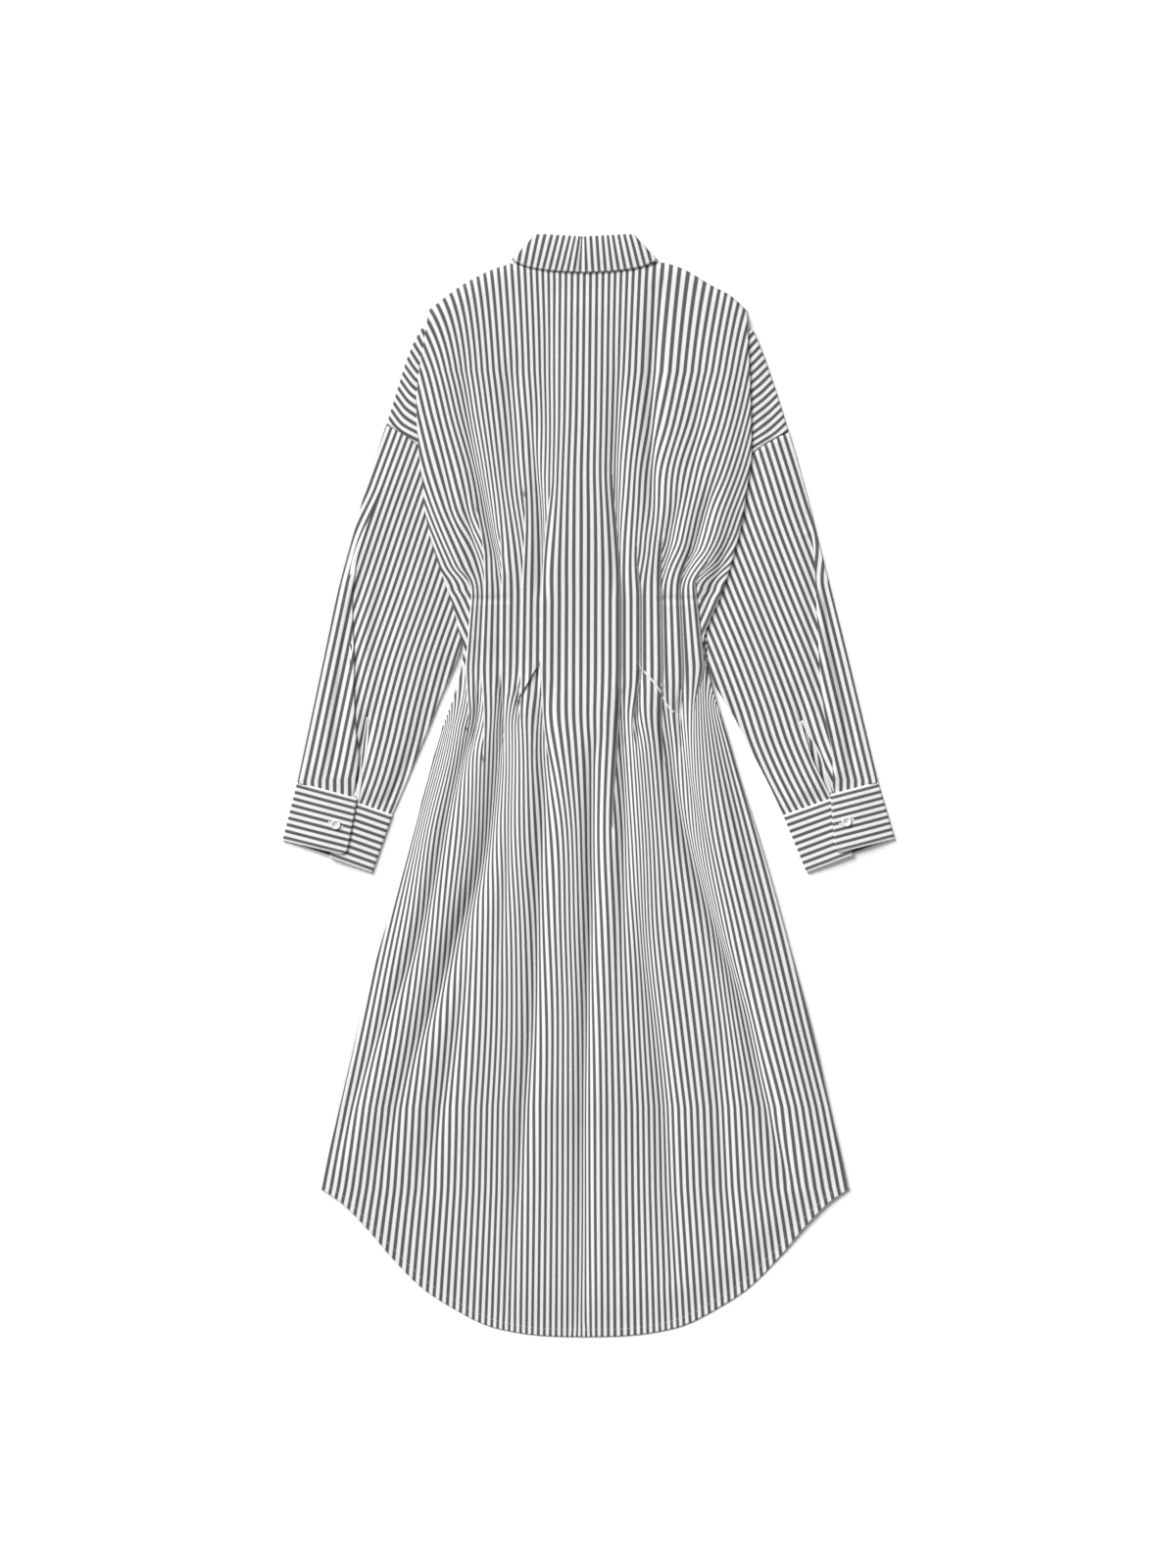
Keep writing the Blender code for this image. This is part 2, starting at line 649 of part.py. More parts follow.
def sleeve(name, rows, slit, folds, finish):
    """A flattened tube from the armhole seam to the cuff, slit above the cuff."""
    rings = []
    for t in SLEEVE_STATIONS:
        bend = edge_share(rows, t)
        across = along(slit, "across", t)
        half_gape = along(slit, "gape", t) / 2 / section_width(rows, t) if t > SLIT_START else 0.0
        skew = up_sleeve(rows, t) * CUFF_SKEW_TOP * smooth((t - 7) / 2)
        ring = []
        for share in spread(across - half_gape, bend, SIDE_POINTS):
            x, y, z = upper_point(rows, t, share, folds)
            shift = skew * share / across
            ring.append((x + shift.x, y + shift.y, z))
        ring += sleeve_bend(rows, t, False, (45, 0, -45))
        ring += [lower_point(rows, t, share) for share in spread(bend, 1 - bend, SIDE_POINTS)]
        ring += sleeve_bend(rows, t, True, (-45, 0, 45))
        for share in spread(1 - bend, across + half_gape, SIDE_POINTS):
            ring.append(upper_point(rows, t, share, folds))
        rings.append(ring)
    return cloth_wall(name, rings, finish, slit_from=SLEEVE_STATIONS.index(SLIT_START))


def shoulder(name, rows, upper, finish):
    """Body cloth beyond the fold: the back's share is the upper layer, the front's the lower."""
    middle = LEFT_SLIT["across"][0]
    angles = (32, 60) if upper else (-32, -60)
    grid = []
    for t in spread(0, 4, 8):
        bend = edge_share(rows, t)
        row = sleeve_bend(rows, t, False, angles)
        if upper:
            shares = spread(bend, middle, SIDE_POINTS) + spread(middle, 1 - bend, SIDE_POINTS)[1:]
            row += [upper_point(rows, t, share, ()) for share in shares + [1.0]]
        else:
            shares = spread(bend, 1 - bend, SIDE_POINTS)
            row += [lower_point(rows, t, share) for share in shares + [1.0]]
        grid.append(row)
    return cloth_wall(name, grid, finish)


# ---- cuffs ------------------------------------------------------------------------------------

CUFF_HOLLOW = 0.6           # space between a cuff's two sides
CUFF_UNDER = CUFF_CLOTH * 1.5 + CUFF_HOLLOW                 # middle of its lapped end's height
CUFF_OVER = CUFF_UNDER + CUFF_CLOTH + SEAM_GAP              # and of its lapping end's
CUFF_ROWS = 5
LAP_SLOPE = 1.25            # how soon the lapping end reaches its height


def cuff_crown(share, down):
    """Rise of the cuff's upper side, most in the middle of its open mouth."""
    return CUFF_PUFF * down * (1 - (2 * share - 1) ** 2)


def cuff_bend(outer, chord, angles, inner):
    low = CUFF_CLOTH / 2
    radius = (CUFF_UNDER - low) / 2
    points = []
    for angle in angles:
        share = (low + radius * (1 - math.cos(math.radians(angle)))) / chord.length
        place = outer + chord * (1 - share if inner else share)
        points.append((place.x, place.y, low + radius * (1 + math.sin(math.radians(angle)))))
    return points


def cuff(name, sizes, finish):
    """A band round the wrist: over the top, round the outer edge, under, and back beneath itself."""
    low = CUFF_CLOTH / 2
    rows = []
    for down in spread(0, 1, CUFF_ROWS):
        outer = Vector(sizes["top_outer"]).lerp(Vector(sizes["bottom_outer"]), down)
        inner = Vector(sizes["top_inner"]).lerp(Vector(sizes["bottom_inner"]), down)
        chord = inner - outer
        up = Vector((-chord.y, chord.x)).normalized()
        up = up if up.y > 0 else -up
        lap = mix(sizes["lap_top"], sizes["lap_bottom"], down)
        skew = mix(CUFF_SKEW_TOP, CUFF_SKEW_BOTTOM, down)
        bend = (low + (CUFF_UNDER - low) / 2) / chord.length
        lapped = lap - CUFF_LAP / chord.length
        row = []
        for share in spread(lap, bend, 8):
            place = outer + chord * share + up * skew * share / lap
            rise = smooth((share - bend) / (lapped - bend) * LAP_SLOPE)
            height = mix(CUFF_UNDER, CUFF_OVER, rise) + cuff_crown(share, down)
            row.append((place.x, place.y, height))
        row += cuff_bend(outer, chord, (45, 0, -45), False)
        for share in spread(bend, 1 - bend, 6):
            place = outer + chord * share
            row.append((place.x, place.y, low))
        row += cuff_bend(outer, chord, (-45, 0, 45), True)
        for share in spread(1 - bend, lapped, 7):
            place = outer + chord * share
            row.append((place.x, place.y, CUFF_UNDER + cuff_crown(share, down)))
        rows.append(row)
    return cloth_wall(name, rows, finish, thickness=CUFF_CLOTH)


def cuff_button_under():
    """Height just clear of a cuff's upper face at its button."""
    return CUFF_OVER + CUFF_CLOTH / 2 + cuff_crown(0.45, 0.65) + SEAM_GAP


# ---- collar -----------------------------------------------------------------------------------

def leaf_rails(t):
    """At a station: the roll line, the direction to the free edge, the leaf's depth,
    the direction of its inner side, and how far it has bent round the neck."""
    roll = Vector((along(LEAF, "roll_x", t), along(LEAF, "roll_y", t), 0.0))
    edge = Vector((along(LEAF, "edge_x", t), along(LEAF, "edge_y", t), 0.0))
    down = (edge - roll).normalized()
    first, last = NECK_BEND
    turned = math.pi * min(max((t - first) / (last - first), 0.0), 1.0)
    to_centre = Vector((-down.y, down.x, 0.0))
    inner = Vector((0, 0, -math.cos(turned))) + to_centre * math.sin(turned)
    middle = Vector((0, 0, NECK_MIDDLE))
    return roll + middle - inner * NECK_BEND_RADIUS, down, (edge - roll).length, inner


def mirrored(point, side):
    return (CENTRE_X - side * point.x, point.y, point.z)


def leaf_section(t, side):
    """Across the leaf: the short return inside the roll, the roll, and out to the free edge."""
    roll, down, depth, inner = leaf_rails(t)
    points = [roll + down * (LEAF_RETURN + CLOTH / 2) + inner * FOLD_RADIUS * 2]
    for angle in ROLL_ANGLES:
        out = ROLL_LENGTH * (1 - math.cos(math.radians(angle)))
        inside = 1 + math.sin(math.radians(angle))
        points.append(roll + down * (out + CLOTH / 2) + inner * FOLD_RADIUS * inside)
    for share in LEAF_SHARES:
        points.append(roll + down * mix(ROLL_LENGTH + CLOTH / 2, depth - CLOTH / 2, share))
    return [mirrored(point, side) for point in points]


def collar_leaf(finish):
    rows = [leaf_section(t, -1) for t in COLLAR_STATIONS]
    rows += [leaf_section(0, 1)]
    rows += [leaf_section(t, 1) for t in COLLAR_STATIONS[::-1]]
    return cloth_wall("collar_leaf", rows, finish)


def stand_section(t, side):
    """Across the stand, from its seam with the leaf down to the neckline seam."""
    roll, down, _, inner = leaf_rails(t)
    upper = roll + down * (LEAF_RETURN + CLOTH / 2 + SEAM_GAP) + inner * FOLD_RADIUS * 2
    seam = Vector((-along(STAND, "reach", t), along(STAND, "seam_y", t), NECK_MIDDLE))
    seam -= inner * (NECK_BEND_RADIUS - 2 * FOLD_RADIUS)
    points = []
    for share in (0.0, 0.5, 1.0):
        x, y, z = mirrored(upper.lerp(seam, share), side)
        over_button = front_under(x, y) + CLOTH / 2
        points.append((x, y, mix(z, max(z, over_button), smooth(t - 4))))
    return points


def stand_end(side):
    """The stand's end past the centre front, level over the collar's button."""
    points = []
    for x, y, _ in stand_section(7, side):
        x -= side * STAND_LAP
        points.append((x, y, front_under(x, y) + CLOTH / 2))
    return points


def collar_stand(finish):
    """The band under the leaf; its left end laps inside its right end at the centre front."""
    rows = [[(x, y, z + CLOTH + SEAM_GAP) for x, y, z in stand_end(-1)]]
    for t in COLLAR_STATIONS:
        raised = (CLOTH + SEAM_GAP) * smooth((t - 5) / 1.2)
        rows.append([(x, y, z + raised) for x, y, z in stand_section(t, -1)])
    rows.append(stand_section(0, 1))
    rows += [stand_section(t, 1) for t in COLLAR_STATIONS[::-1]]
    rows.append(stand_end(1))
    return cloth_wall("collar_stand", rows, finish)


# ---- the dress --------------------------------------------------------------------------------

def clear_scene():
    for old in list(bpy.data.objects):
        bpy.data.objects.remove(old, do_unlink=True)


def build():
    clear_scene()
    cotton = material("striped cotton", (0.56, 0.56, 0.56), 0.85)
    pearl = material("pearl button", (0.90, 0.89, 0.86), 0.3)

    back_panel(cotton)
    front_panel("front_left", -1, cotton)
    front_panel("front_right", 1, cotton)
    shoulder("back_shoulder_left", LEFT_SHOULDER, True, cotton)
    shoulder("back_shoulder_right", RIGHT_SHOULDER, True, cotton)
    shoulder("front_shoulder_left", LEFT_SHOULDER, False, cotton)
    shoulder("front_shoulder_right", RIGHT_SHOULDER, False, cotton)
    sleeve("sleeve_left", LEFT_SLEEVE, LEFT_SLIT, SLEEVE_FOLDS_LEFT, cotton)
    sleeve("sleeve_right", RIGHT_SLEEVE, RIGHT_SLIT, SLEEVE_FOLDS_RIGHT, cotton)
    cuff("cuff_left", LEFT_CUFF, cotton)
    cuff("cuff_right", RIGHT_CUFF, cotton)
    collar_leaf(cotton)
    collar_stand(cotton)

    for name, sizes in (("cuff_button_left", LEFT_CUFF), ("cuff_button_right", RIGHT_CUFF)):
        button(name, sizes["button"], cuff_button_under(), pearl)
    for number, y in enumerate(button_heights()):
        button(f"front_button_{number:02d}", (CENTRE_X, y), 0.0, pearl)


build()
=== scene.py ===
# A striped cotton shirt dress laid flat on its front, seen from above.
# Plan sizes are in millimetres, as for a pattern, and the meshes are in metres.

import math

import bmesh
import bpy
import numpy as np
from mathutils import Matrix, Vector
from mathutils.bvhtree import BVHTree


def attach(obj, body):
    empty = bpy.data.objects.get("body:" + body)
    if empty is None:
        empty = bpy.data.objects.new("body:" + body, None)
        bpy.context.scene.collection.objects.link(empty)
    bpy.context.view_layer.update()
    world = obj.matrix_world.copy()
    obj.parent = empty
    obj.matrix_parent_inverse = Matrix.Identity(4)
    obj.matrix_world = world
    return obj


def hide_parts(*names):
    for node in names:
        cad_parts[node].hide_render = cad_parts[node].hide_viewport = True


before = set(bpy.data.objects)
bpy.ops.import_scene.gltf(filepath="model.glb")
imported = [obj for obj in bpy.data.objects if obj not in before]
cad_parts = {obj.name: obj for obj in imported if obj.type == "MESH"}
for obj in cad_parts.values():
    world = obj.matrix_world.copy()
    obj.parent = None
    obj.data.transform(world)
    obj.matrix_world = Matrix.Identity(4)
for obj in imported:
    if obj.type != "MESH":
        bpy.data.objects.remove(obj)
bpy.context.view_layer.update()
mm = 0.001

cloth = dict(
    thickness=0.36,        # shirting
    band=0.7,              # cuffs and collar: doubled and interlined
    repeat=8.2,            # one light and one dark stripe
    weld=0.004,            # points this close become one
)
centreX = -4.5             # middle of the collar and of the buttoned front


def smooth(value):
    value = np.clip(value, 0.0, 1.0)
    return value * value * (3.0 - 2.0 * value)


def mix(a, b, share):
    return a + (b - a) * share


def table(names, *rows):
    return dict(zip(names.split(), np.array(rows, dtype=float).T))


def throughPoints(knots, values, at):
    # a smooth curve through the points that never overshoots them
    knots, values = np.asarray(knots, float), np.asarray(values, float)
    if knots[0] > knots[-1]:
        knots, values = knots[::-1], values[::-1]
    if len(knots) == 2:
        return np.interp(at, knots, values)
    steps = np.diff(values) / np.diff(knots)
    slopes = np.gradient(values, knots)
    slopes[1:-1][steps[1:] * steps[:-1] <= 0] = 0.0
    limit = 2.6 * np.minimum(np.abs(steps[1:]), np.abs(steps[:-1]))
    slopes[1:-1] = np.clip(slopes[1:-1], -limit, limit)
    at = np.clip(np.asarray(at, float), knots[0], knots[-1])
    cell = np.clip(np.searchsorted(knots, at, side="right") - 1, 0, len(knots) - 2)
    span = knots[cell + 1] - knots[cell]
    u = (at - knots[cell]) / span
    return (values[cell] * (2 * u**3 - 3 * u**2 + 1) + slopes[cell] * span * (u**3 - 2 * u**2 + u)
            + values[cell + 1] * (3 * u**2 - 2 * u**3) + slopes[cell + 1] * span * (u**3 - u**2))


def read(rows, name, at):
    # a column of a table, by its first column
    return throughPoints(next(iter(rows.values())), rows[name], at)


def lengthsAlong(line):
    # how far each point of a line lies along it
    return np.concatenate([[0], np.cumsum(np.linalg.norm(np.diff(line, axis=0), axis=1))])


def addObject(name, data, material=None):
    if material:
        data.materials.append(material)
    made = bpy.data.objects.new(name, data)
    bpy.context.scene.collection.objects.link(made)
    return made


def addShape(name, shape, material):
    bmesh.ops.recalc_face_normals(shape, faces=shape.faces)
    for face in shape.faces:
        face.smooth = True
    mesh = bpy.data.meshes.new(name)
    shape.to_mesh(mesh)
    shape.free()
    return addObject(name, mesh, material)


def handOver(piece, slot, *nodes):
    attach(piece, "root")
    if nodes:
        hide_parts(*nodes)
    return piece


def makeSheet(name, node, blocks, thickness=cloth["thickness"]):
    # each block is a grid of points with its stripe number, and its length along the stripe
    # where that isn't y; blocks that share an edge are welded there
    shape = bmesh.new()
    uvLayer = shape.loops.layers.uv.new("cloth")
    for points, across, *along in blocks:
        along = along[0] if along else points[:, :, 1]
        rows, columns = points.shape[:2]
        verts = [[shape.verts.new(Vector(point) * mm) for point in row] for row in points]
        for i in range(rows - 1):
            for j in range(columns - 1):
                corners = ((i, j), (i, j + 1), (i + 1, j + 1), (i + 1, j))
                face = shape.faces.new([verts[r][c] for r, c in corners])
                for loop, corner in zip(face.loops, corners):
                    loop[uvLayer].uv = (across[corner], along[corner] / cloth["repeat"])
    bmesh.ops.remove_doubles(shape, verts=shape.verts, dist=cloth["weld"] * mm)
    bmesh.ops.dissolve_degenerate(shape, edges=shape.edges, dist=cloth["weld"] * mm)
    piece = addShape(name, shape, stripes)
    wall = piece.modifiers.new("thickness", "SOLIDIFY")
    wall.thickness = thickness * mm
    wall.offset = 0.0
    wall.use_even_offset = False
    handOver(piece, "striped_cotton", node)
    return piece


def nodeMaker(tree):
    # values feed or fill the inputs in order, and named ones by name
    def node(kind, *values, named={}, **settings):
        made = tree.nodes.new(kind)
        for key, value in settings.items():
            setattr(made, key, value)
        chosen = [(made.inputs[key], value) for key, value in named.items()]
        for socket, value in [*zip(made.inputs, values), *chosen]:
            if hasattr(value, "node"):
                tree.links.new(value, socket)
            elif value is not None:
                socket.default_value = value
        return made
    return node


poplin = dict(
    white=(0.80, 0.80, 0.795), dark=(0.098, 0.1, 0.104),
    darkShare=0.488, edge=0.075,        # of a repeat
    threads=27, threadDepth=0.25, roughness=0.88,
)


def newMaterial(name, roughness, specular):
    made = bpy.data.materials.new(name)
    made.use_nodes = True
    shader = made.node_tree.nodes["Principled BSDF"]
    shader.inputs["Roughness"].default_value = roughness
    shader.inputs["Specular IOR Level"].default_value = specular
    node = nodeMaker(made.node_tree)
    place = node("ShaderNodeTexCoord").outputs["Object"]

    def noise(at, scale, detail):
        return node("ShaderNodeTexNoise", at, named={"Scale": scale, "Detail": detail}).outputs["Fac"]

    def feed(output, name):
        made.node_tree.links.new(output, shader.inputs[name])

    return made, shader, node, place, noise, feed


def stripedPoplin():
    made, shader, node, place, noise, feed = newMaterial("stripedPoplin", poplin["roughness"], 0.2)
    shader.inputs["Sheen Weight"].default_value = 0.08
    shader.inputs["Sheen Roughness"].default_value = 0.5

    def maths(operation, *values):
        return node("ShaderNodeMath", *values, operation=operation).outputs[0]

    split = node("ShaderNodeSeparateXYZ", node("ShaderNodeUVMap", uv_map="cloth").outputs[0])
    across, along = split.outputs[0], split.outputs[1]

    # the dyed warp: distance from the middle of the nearest dark stripe
    jitter = maths("MULTIPLY", maths("SUBTRACT", noise(place, 900.0, 2.0), 0.5), 0.05)
    shifted = maths("ADD", maths("ADD", across, 0.5), jitter)
    fromDark = maths("ABSOLUTE", maths("SUBTRACT", maths("FRACT", shifted), 0.5))
    half, edge = poplin["darkShare"] / 2, poplin["edge"]
    stripe = node("ShaderNodeMapRange", interpolation_type="SMOOTHSTEP",
                  named={"Value": fromDark, "From Min": half - edge, "From Max": half + edge})
    colour = node("ShaderNodeMix", data_type="RGBA", named={
        "Factor": stripe.outputs["Result"], "A": (*poplin["dark"], 1), "B": (*poplin["white"], 1)})

    # slubs along the yarns and broad unevenness of the cloth
    yarns = node("ShaderNodeCombineXYZ", maths("MULTIPLY", across, 14.0), maths("MULTIPLY", along, 1.2), 0.0)
    slub = maths("MULTIPLY", noise(yarns.outputs[0], 1.0, 3.0), 0.16)
    broad = maths("MULTIPLY", noise(place, 7.0, 2.0), 0.06)
    shade = maths("ADD", maths("ADD", slub, broad), 0.89)
    toned = node("ShaderNodeVectorMath", colour.outputs["Result"], operation="SCALE", named={"Scale": shade})
    feed(toned.outputs[0], "Base Color")

    # plain weave: warp and weft threads rise in turn
    turn = 2 * math.pi * poplin["threads"]
    warp, weft = (maths("SINE", maths("MULTIPLY", way, turn)) for way in (across, along))
    bump = node("ShaderNodeBump", named={
        "Strength": poplin["threadDepth"], "Distance": 0.0001, "Height": maths("MULTIPLY", warp, weft)})
    feed(bump.outputs[0], "Normal")
    return made


def plainMaterial(name, colour, roughness, specular, grain, grainScale):
    made, _, node, place, noise, feed = newMaterial(name, roughness, specular)
    uneven = node("ShaderNodeMapRange", named={
        "Value": noise(place, grainScale, 3.0), "To Min": 1.0 - grain}).outputs["Result"]
    toned = node("ShaderNodeVectorMath", colour, operation="SCALE", named={"Scale": uneven})
    feed(toned.outputs[0], "Base Color")
    return made


stripes = stripedPoplin()
pearl = plainMaterial("pearlResin", (0.86, 0.85, 0.82), 0.22, 0.6, 0.08, 160.0)
thread = plainMaterial("cottonThread", (0.88, 0.88, 0.87), 0.8, 0.2, 0.12, 2500.0)
print("materials made")

# Edges of the laid body, how far the sleeves under it lift them, how far they turn under,
# and how high its folds stand.
body = table(
    "y       left  right  liftL  liftR  turn  folds",
    (537,    -178,   177,   2.7,   2.7,    2,   0.6),
    (507,    -184,   179,   2.9,   2.9,    7,   1.2),
    (463,    -190,   181,   2.9,   2.9,   16,   2.2),
    (427,    -193,   182,   2.9,   2.9,   18,   2.6),
    (373,    -190,   183,   2.9,   2.9,   20,   3.1),
    (338,    -186, 178.5,   2.9,   2.9,   20,   3.4),
    (300,    -182,   173,   2.9,   2.9,   20,   3.6),
    (265,    -174,   165,   2.9,   2.9,   16,   3.4),
    (215,    -157, 149.5,   2.9,   2.9,    8,   1.6),
    (184,  -147.5,   136,   2.9,   2.9,    5,   0.7),
    (166,    -144, 129.8,   2.9,   2.9,    4,   0.5),
    (152,  -140.5, 129.5,   1.6,   2.9,    4,   0.5),
    (127,  -143.5,   134,   0.3,     2,  2.5,     1),
    (89,   -154.5, 144.6,     0,     0,  2.5,     3),
    (53,     -168,   156,     0,     0,  2.5,   4.2),
    (9,      -179,   169,     0,     0,  2.5,   4.9),
    (-57,  -198.5,   190,     0,     0,  2.5,   5.2),
    (-101, -209.5,   203,     0,     0,  2.5,   5.2),
    (-189,   -236,   227,     0,     0,  2.5,   4.9),
    (-277,   -259,   251,     0,     0,  2.5,   4.3),
    (-365,   -280,   271,     0,     0,  2.5,   3.4),
    (-453,   -301,   292,     0,     0,  2.5,   1.6),
    (-620,   -340,   330,     0,     0,  2.5,   0.8),
)
shoulderLine = table(
    "x     y",
    (-178, 533), (-148, 556), (-116, 574), (-92, 583), (-76, 586), (67, 586.5),
    (84, 585.4), (105, 579), (136, 561), (165, 544), (177, 532),
)
hemCurve = table(
    "reach rise",
    (0, 0), (40, 1), (75, 5), (107, 13), (142, 31), (182, 58), (214, 90), (246, 126), (270, 149), (298, 168),
)
hem = dict(middle=-4, bottom=-620, corner=-453, frontShare=0.64)
lay = dict(back=3.3, edgeRadius=1.05, sleeveEase=70, closingEase=60, closingRise=2.3)

# Where chosen stripes run, counted from the middle: across the bodice, and across the skirt,
# whose tucks have let other stripes out.
bodiceStripes = (-40, -33, -26, -18, -10, -3, 3, 10, 18, 26, 33, 40)
bodiceRows = (
    (600, (-300, -258, -206, -141, -77, -26, 18, 71, 148, 210, 262, 310)),
    (562, (-290, -248, -200, -137, -75, -26, 18, 69, 144, 203, 252, 298)),
    (523, (-276, -235, -189, -130, -71, -25, 16, 65, 137, 193, 240, 285)),
    (468, (-256, -218, -168, -120, -67, -26, 15, 60, 125, 181, 222, 262)),
    (408, (-238, -203, -153, -112, -63, -27, 14, 53, 111, 167, 205, 240)),
    (353, (-226, -190, -138, -105, -61, -29, 13, 47, 95, 150, 191, 222)),
    (309, (-211, -175, -129, -99, -59, -30, 14, 45, 91, 134, 175, 206)),
    (265, (-198, -157, -121, -95, -58, -31, 15, 43, 84, 122, 158, 208)),
    (240, (-195, -145.5, -118, -94, -57.5, -32.5, 16, 42, 81.5, 112.8, 140.5, 193)),
    (214, (-192, -134.5, -115, -93, -57, -34, 17, 41, 79, 104, 123, 177)),
    (150, (-185, -134, -116, -94, -56, -34, 17, 40, 80, 102, 123, 170)),
)
skirtStripes = (-41, -34, -26, -18, -10, -3, 3, 10, 18, 26, 34, 41)
skirtRows = (
    (150, (-147, -141, -123, -100, -71, -49, -2, 36, 61, 106, 124, 140)),
    (89, (-157, -147, -123, -101, -75, -48, -2, 34, 59, 102, 126, 145)),
    (45, (-171, -154, -130, -101, -73, -42, 1, 37, 64, 104, 128, 157)),
    (-54, (-198, -177, -137, -105, -72, -29, 1, 41, 72, 113, 139, 186)),
    (-164, (-229, -190, -150, -107, -66, -26, 4, 46, 78, 133, 163, 215)),
    (-274, (-253, -208, -160, -109, -64, -23, 7, 51, 91, 148, 189, 241)),
    (-384, (-277, -228, -170, -115, -67, -23, 8, 56, 104, 160, 215, 268)),
    (-620, (-318, -258, -192, -128, -71, -25, 9, 61, 120, 185, 248, 308)),
)
splitY = 172             # the stripes are counted afresh below this line

# Waist tucks, from the middle outwards: the stripes at the lip and at the cloth beside it,
# above and below; the lip's place at the two ends of the sewing; where it has opened out;
# stripes for each mm that run in under the lip.
tuckNames = "side aboveIn aboveOut belowIn belowOut topX bottomX openAbove openBelow depth slant"
tucks = [dict(zip(tuckNames.split(), row)) for row in (
    (-1,  5.5,  9.5,  3.5,   7.5,    53,  53.5, 350,  10, 6,     0),
    (-1, 12.5, 15.5, 10.5,  13.5,    75,  76.5, 330,  62, 5,     0),
    (-1, 18.5, 22.5, 16.5,  19.5,    98,  98.5, 290,  55, 6,     0),
    (-1, 25.5, 29.5, 22.5,  26.5,   117, 120.5, 310,  25, 5,     0),
    (-1, 32.5,   34, 29.5, 30.55, 131.5,   138, 246,  60, 3, 0.069),
    (1,   5.5,  9.5,  7.5,  11.5,  36.5,  36.5, 350, -60, 6,     0),
    (1,  12.5, 14.5, 14.5,  18.5,    59,    59, 265,  40, 5,     0),
    (1,  17.5, 21.5, 21.5,  23.5,    82,  83.5, 275,  20, 6,     0),
    (1,  24.5, 27.5, 26.5,  28.5,   103, 106.5, 265,  40, 5,     0),
    (1,  30.5, 34.1, 31.5, 32.76, 121.5, 130.5, 250,  85, 3, 0.072),
)]
sewn = dict(top=209, bottom=132, lip=1.1, sidePitch=7.8, pinch=1.3, pinchWidth=3.2)

# inside a tuck: how far back it goes and its height, from the lip to where the cloth comes out
tuckFold = dict(
    back=((0, 0.17, 0.34, 0.5, 0.67, 0.84, 1), (0, 0.55, 0.95, 1.1, 1, 0.5, 0)),
    height=((0, 0.17, 0.34, 0.5, 0.67, 0.84, 1), (1, 0.56, 0.5, 0.25, 0, 0, 0)),
)

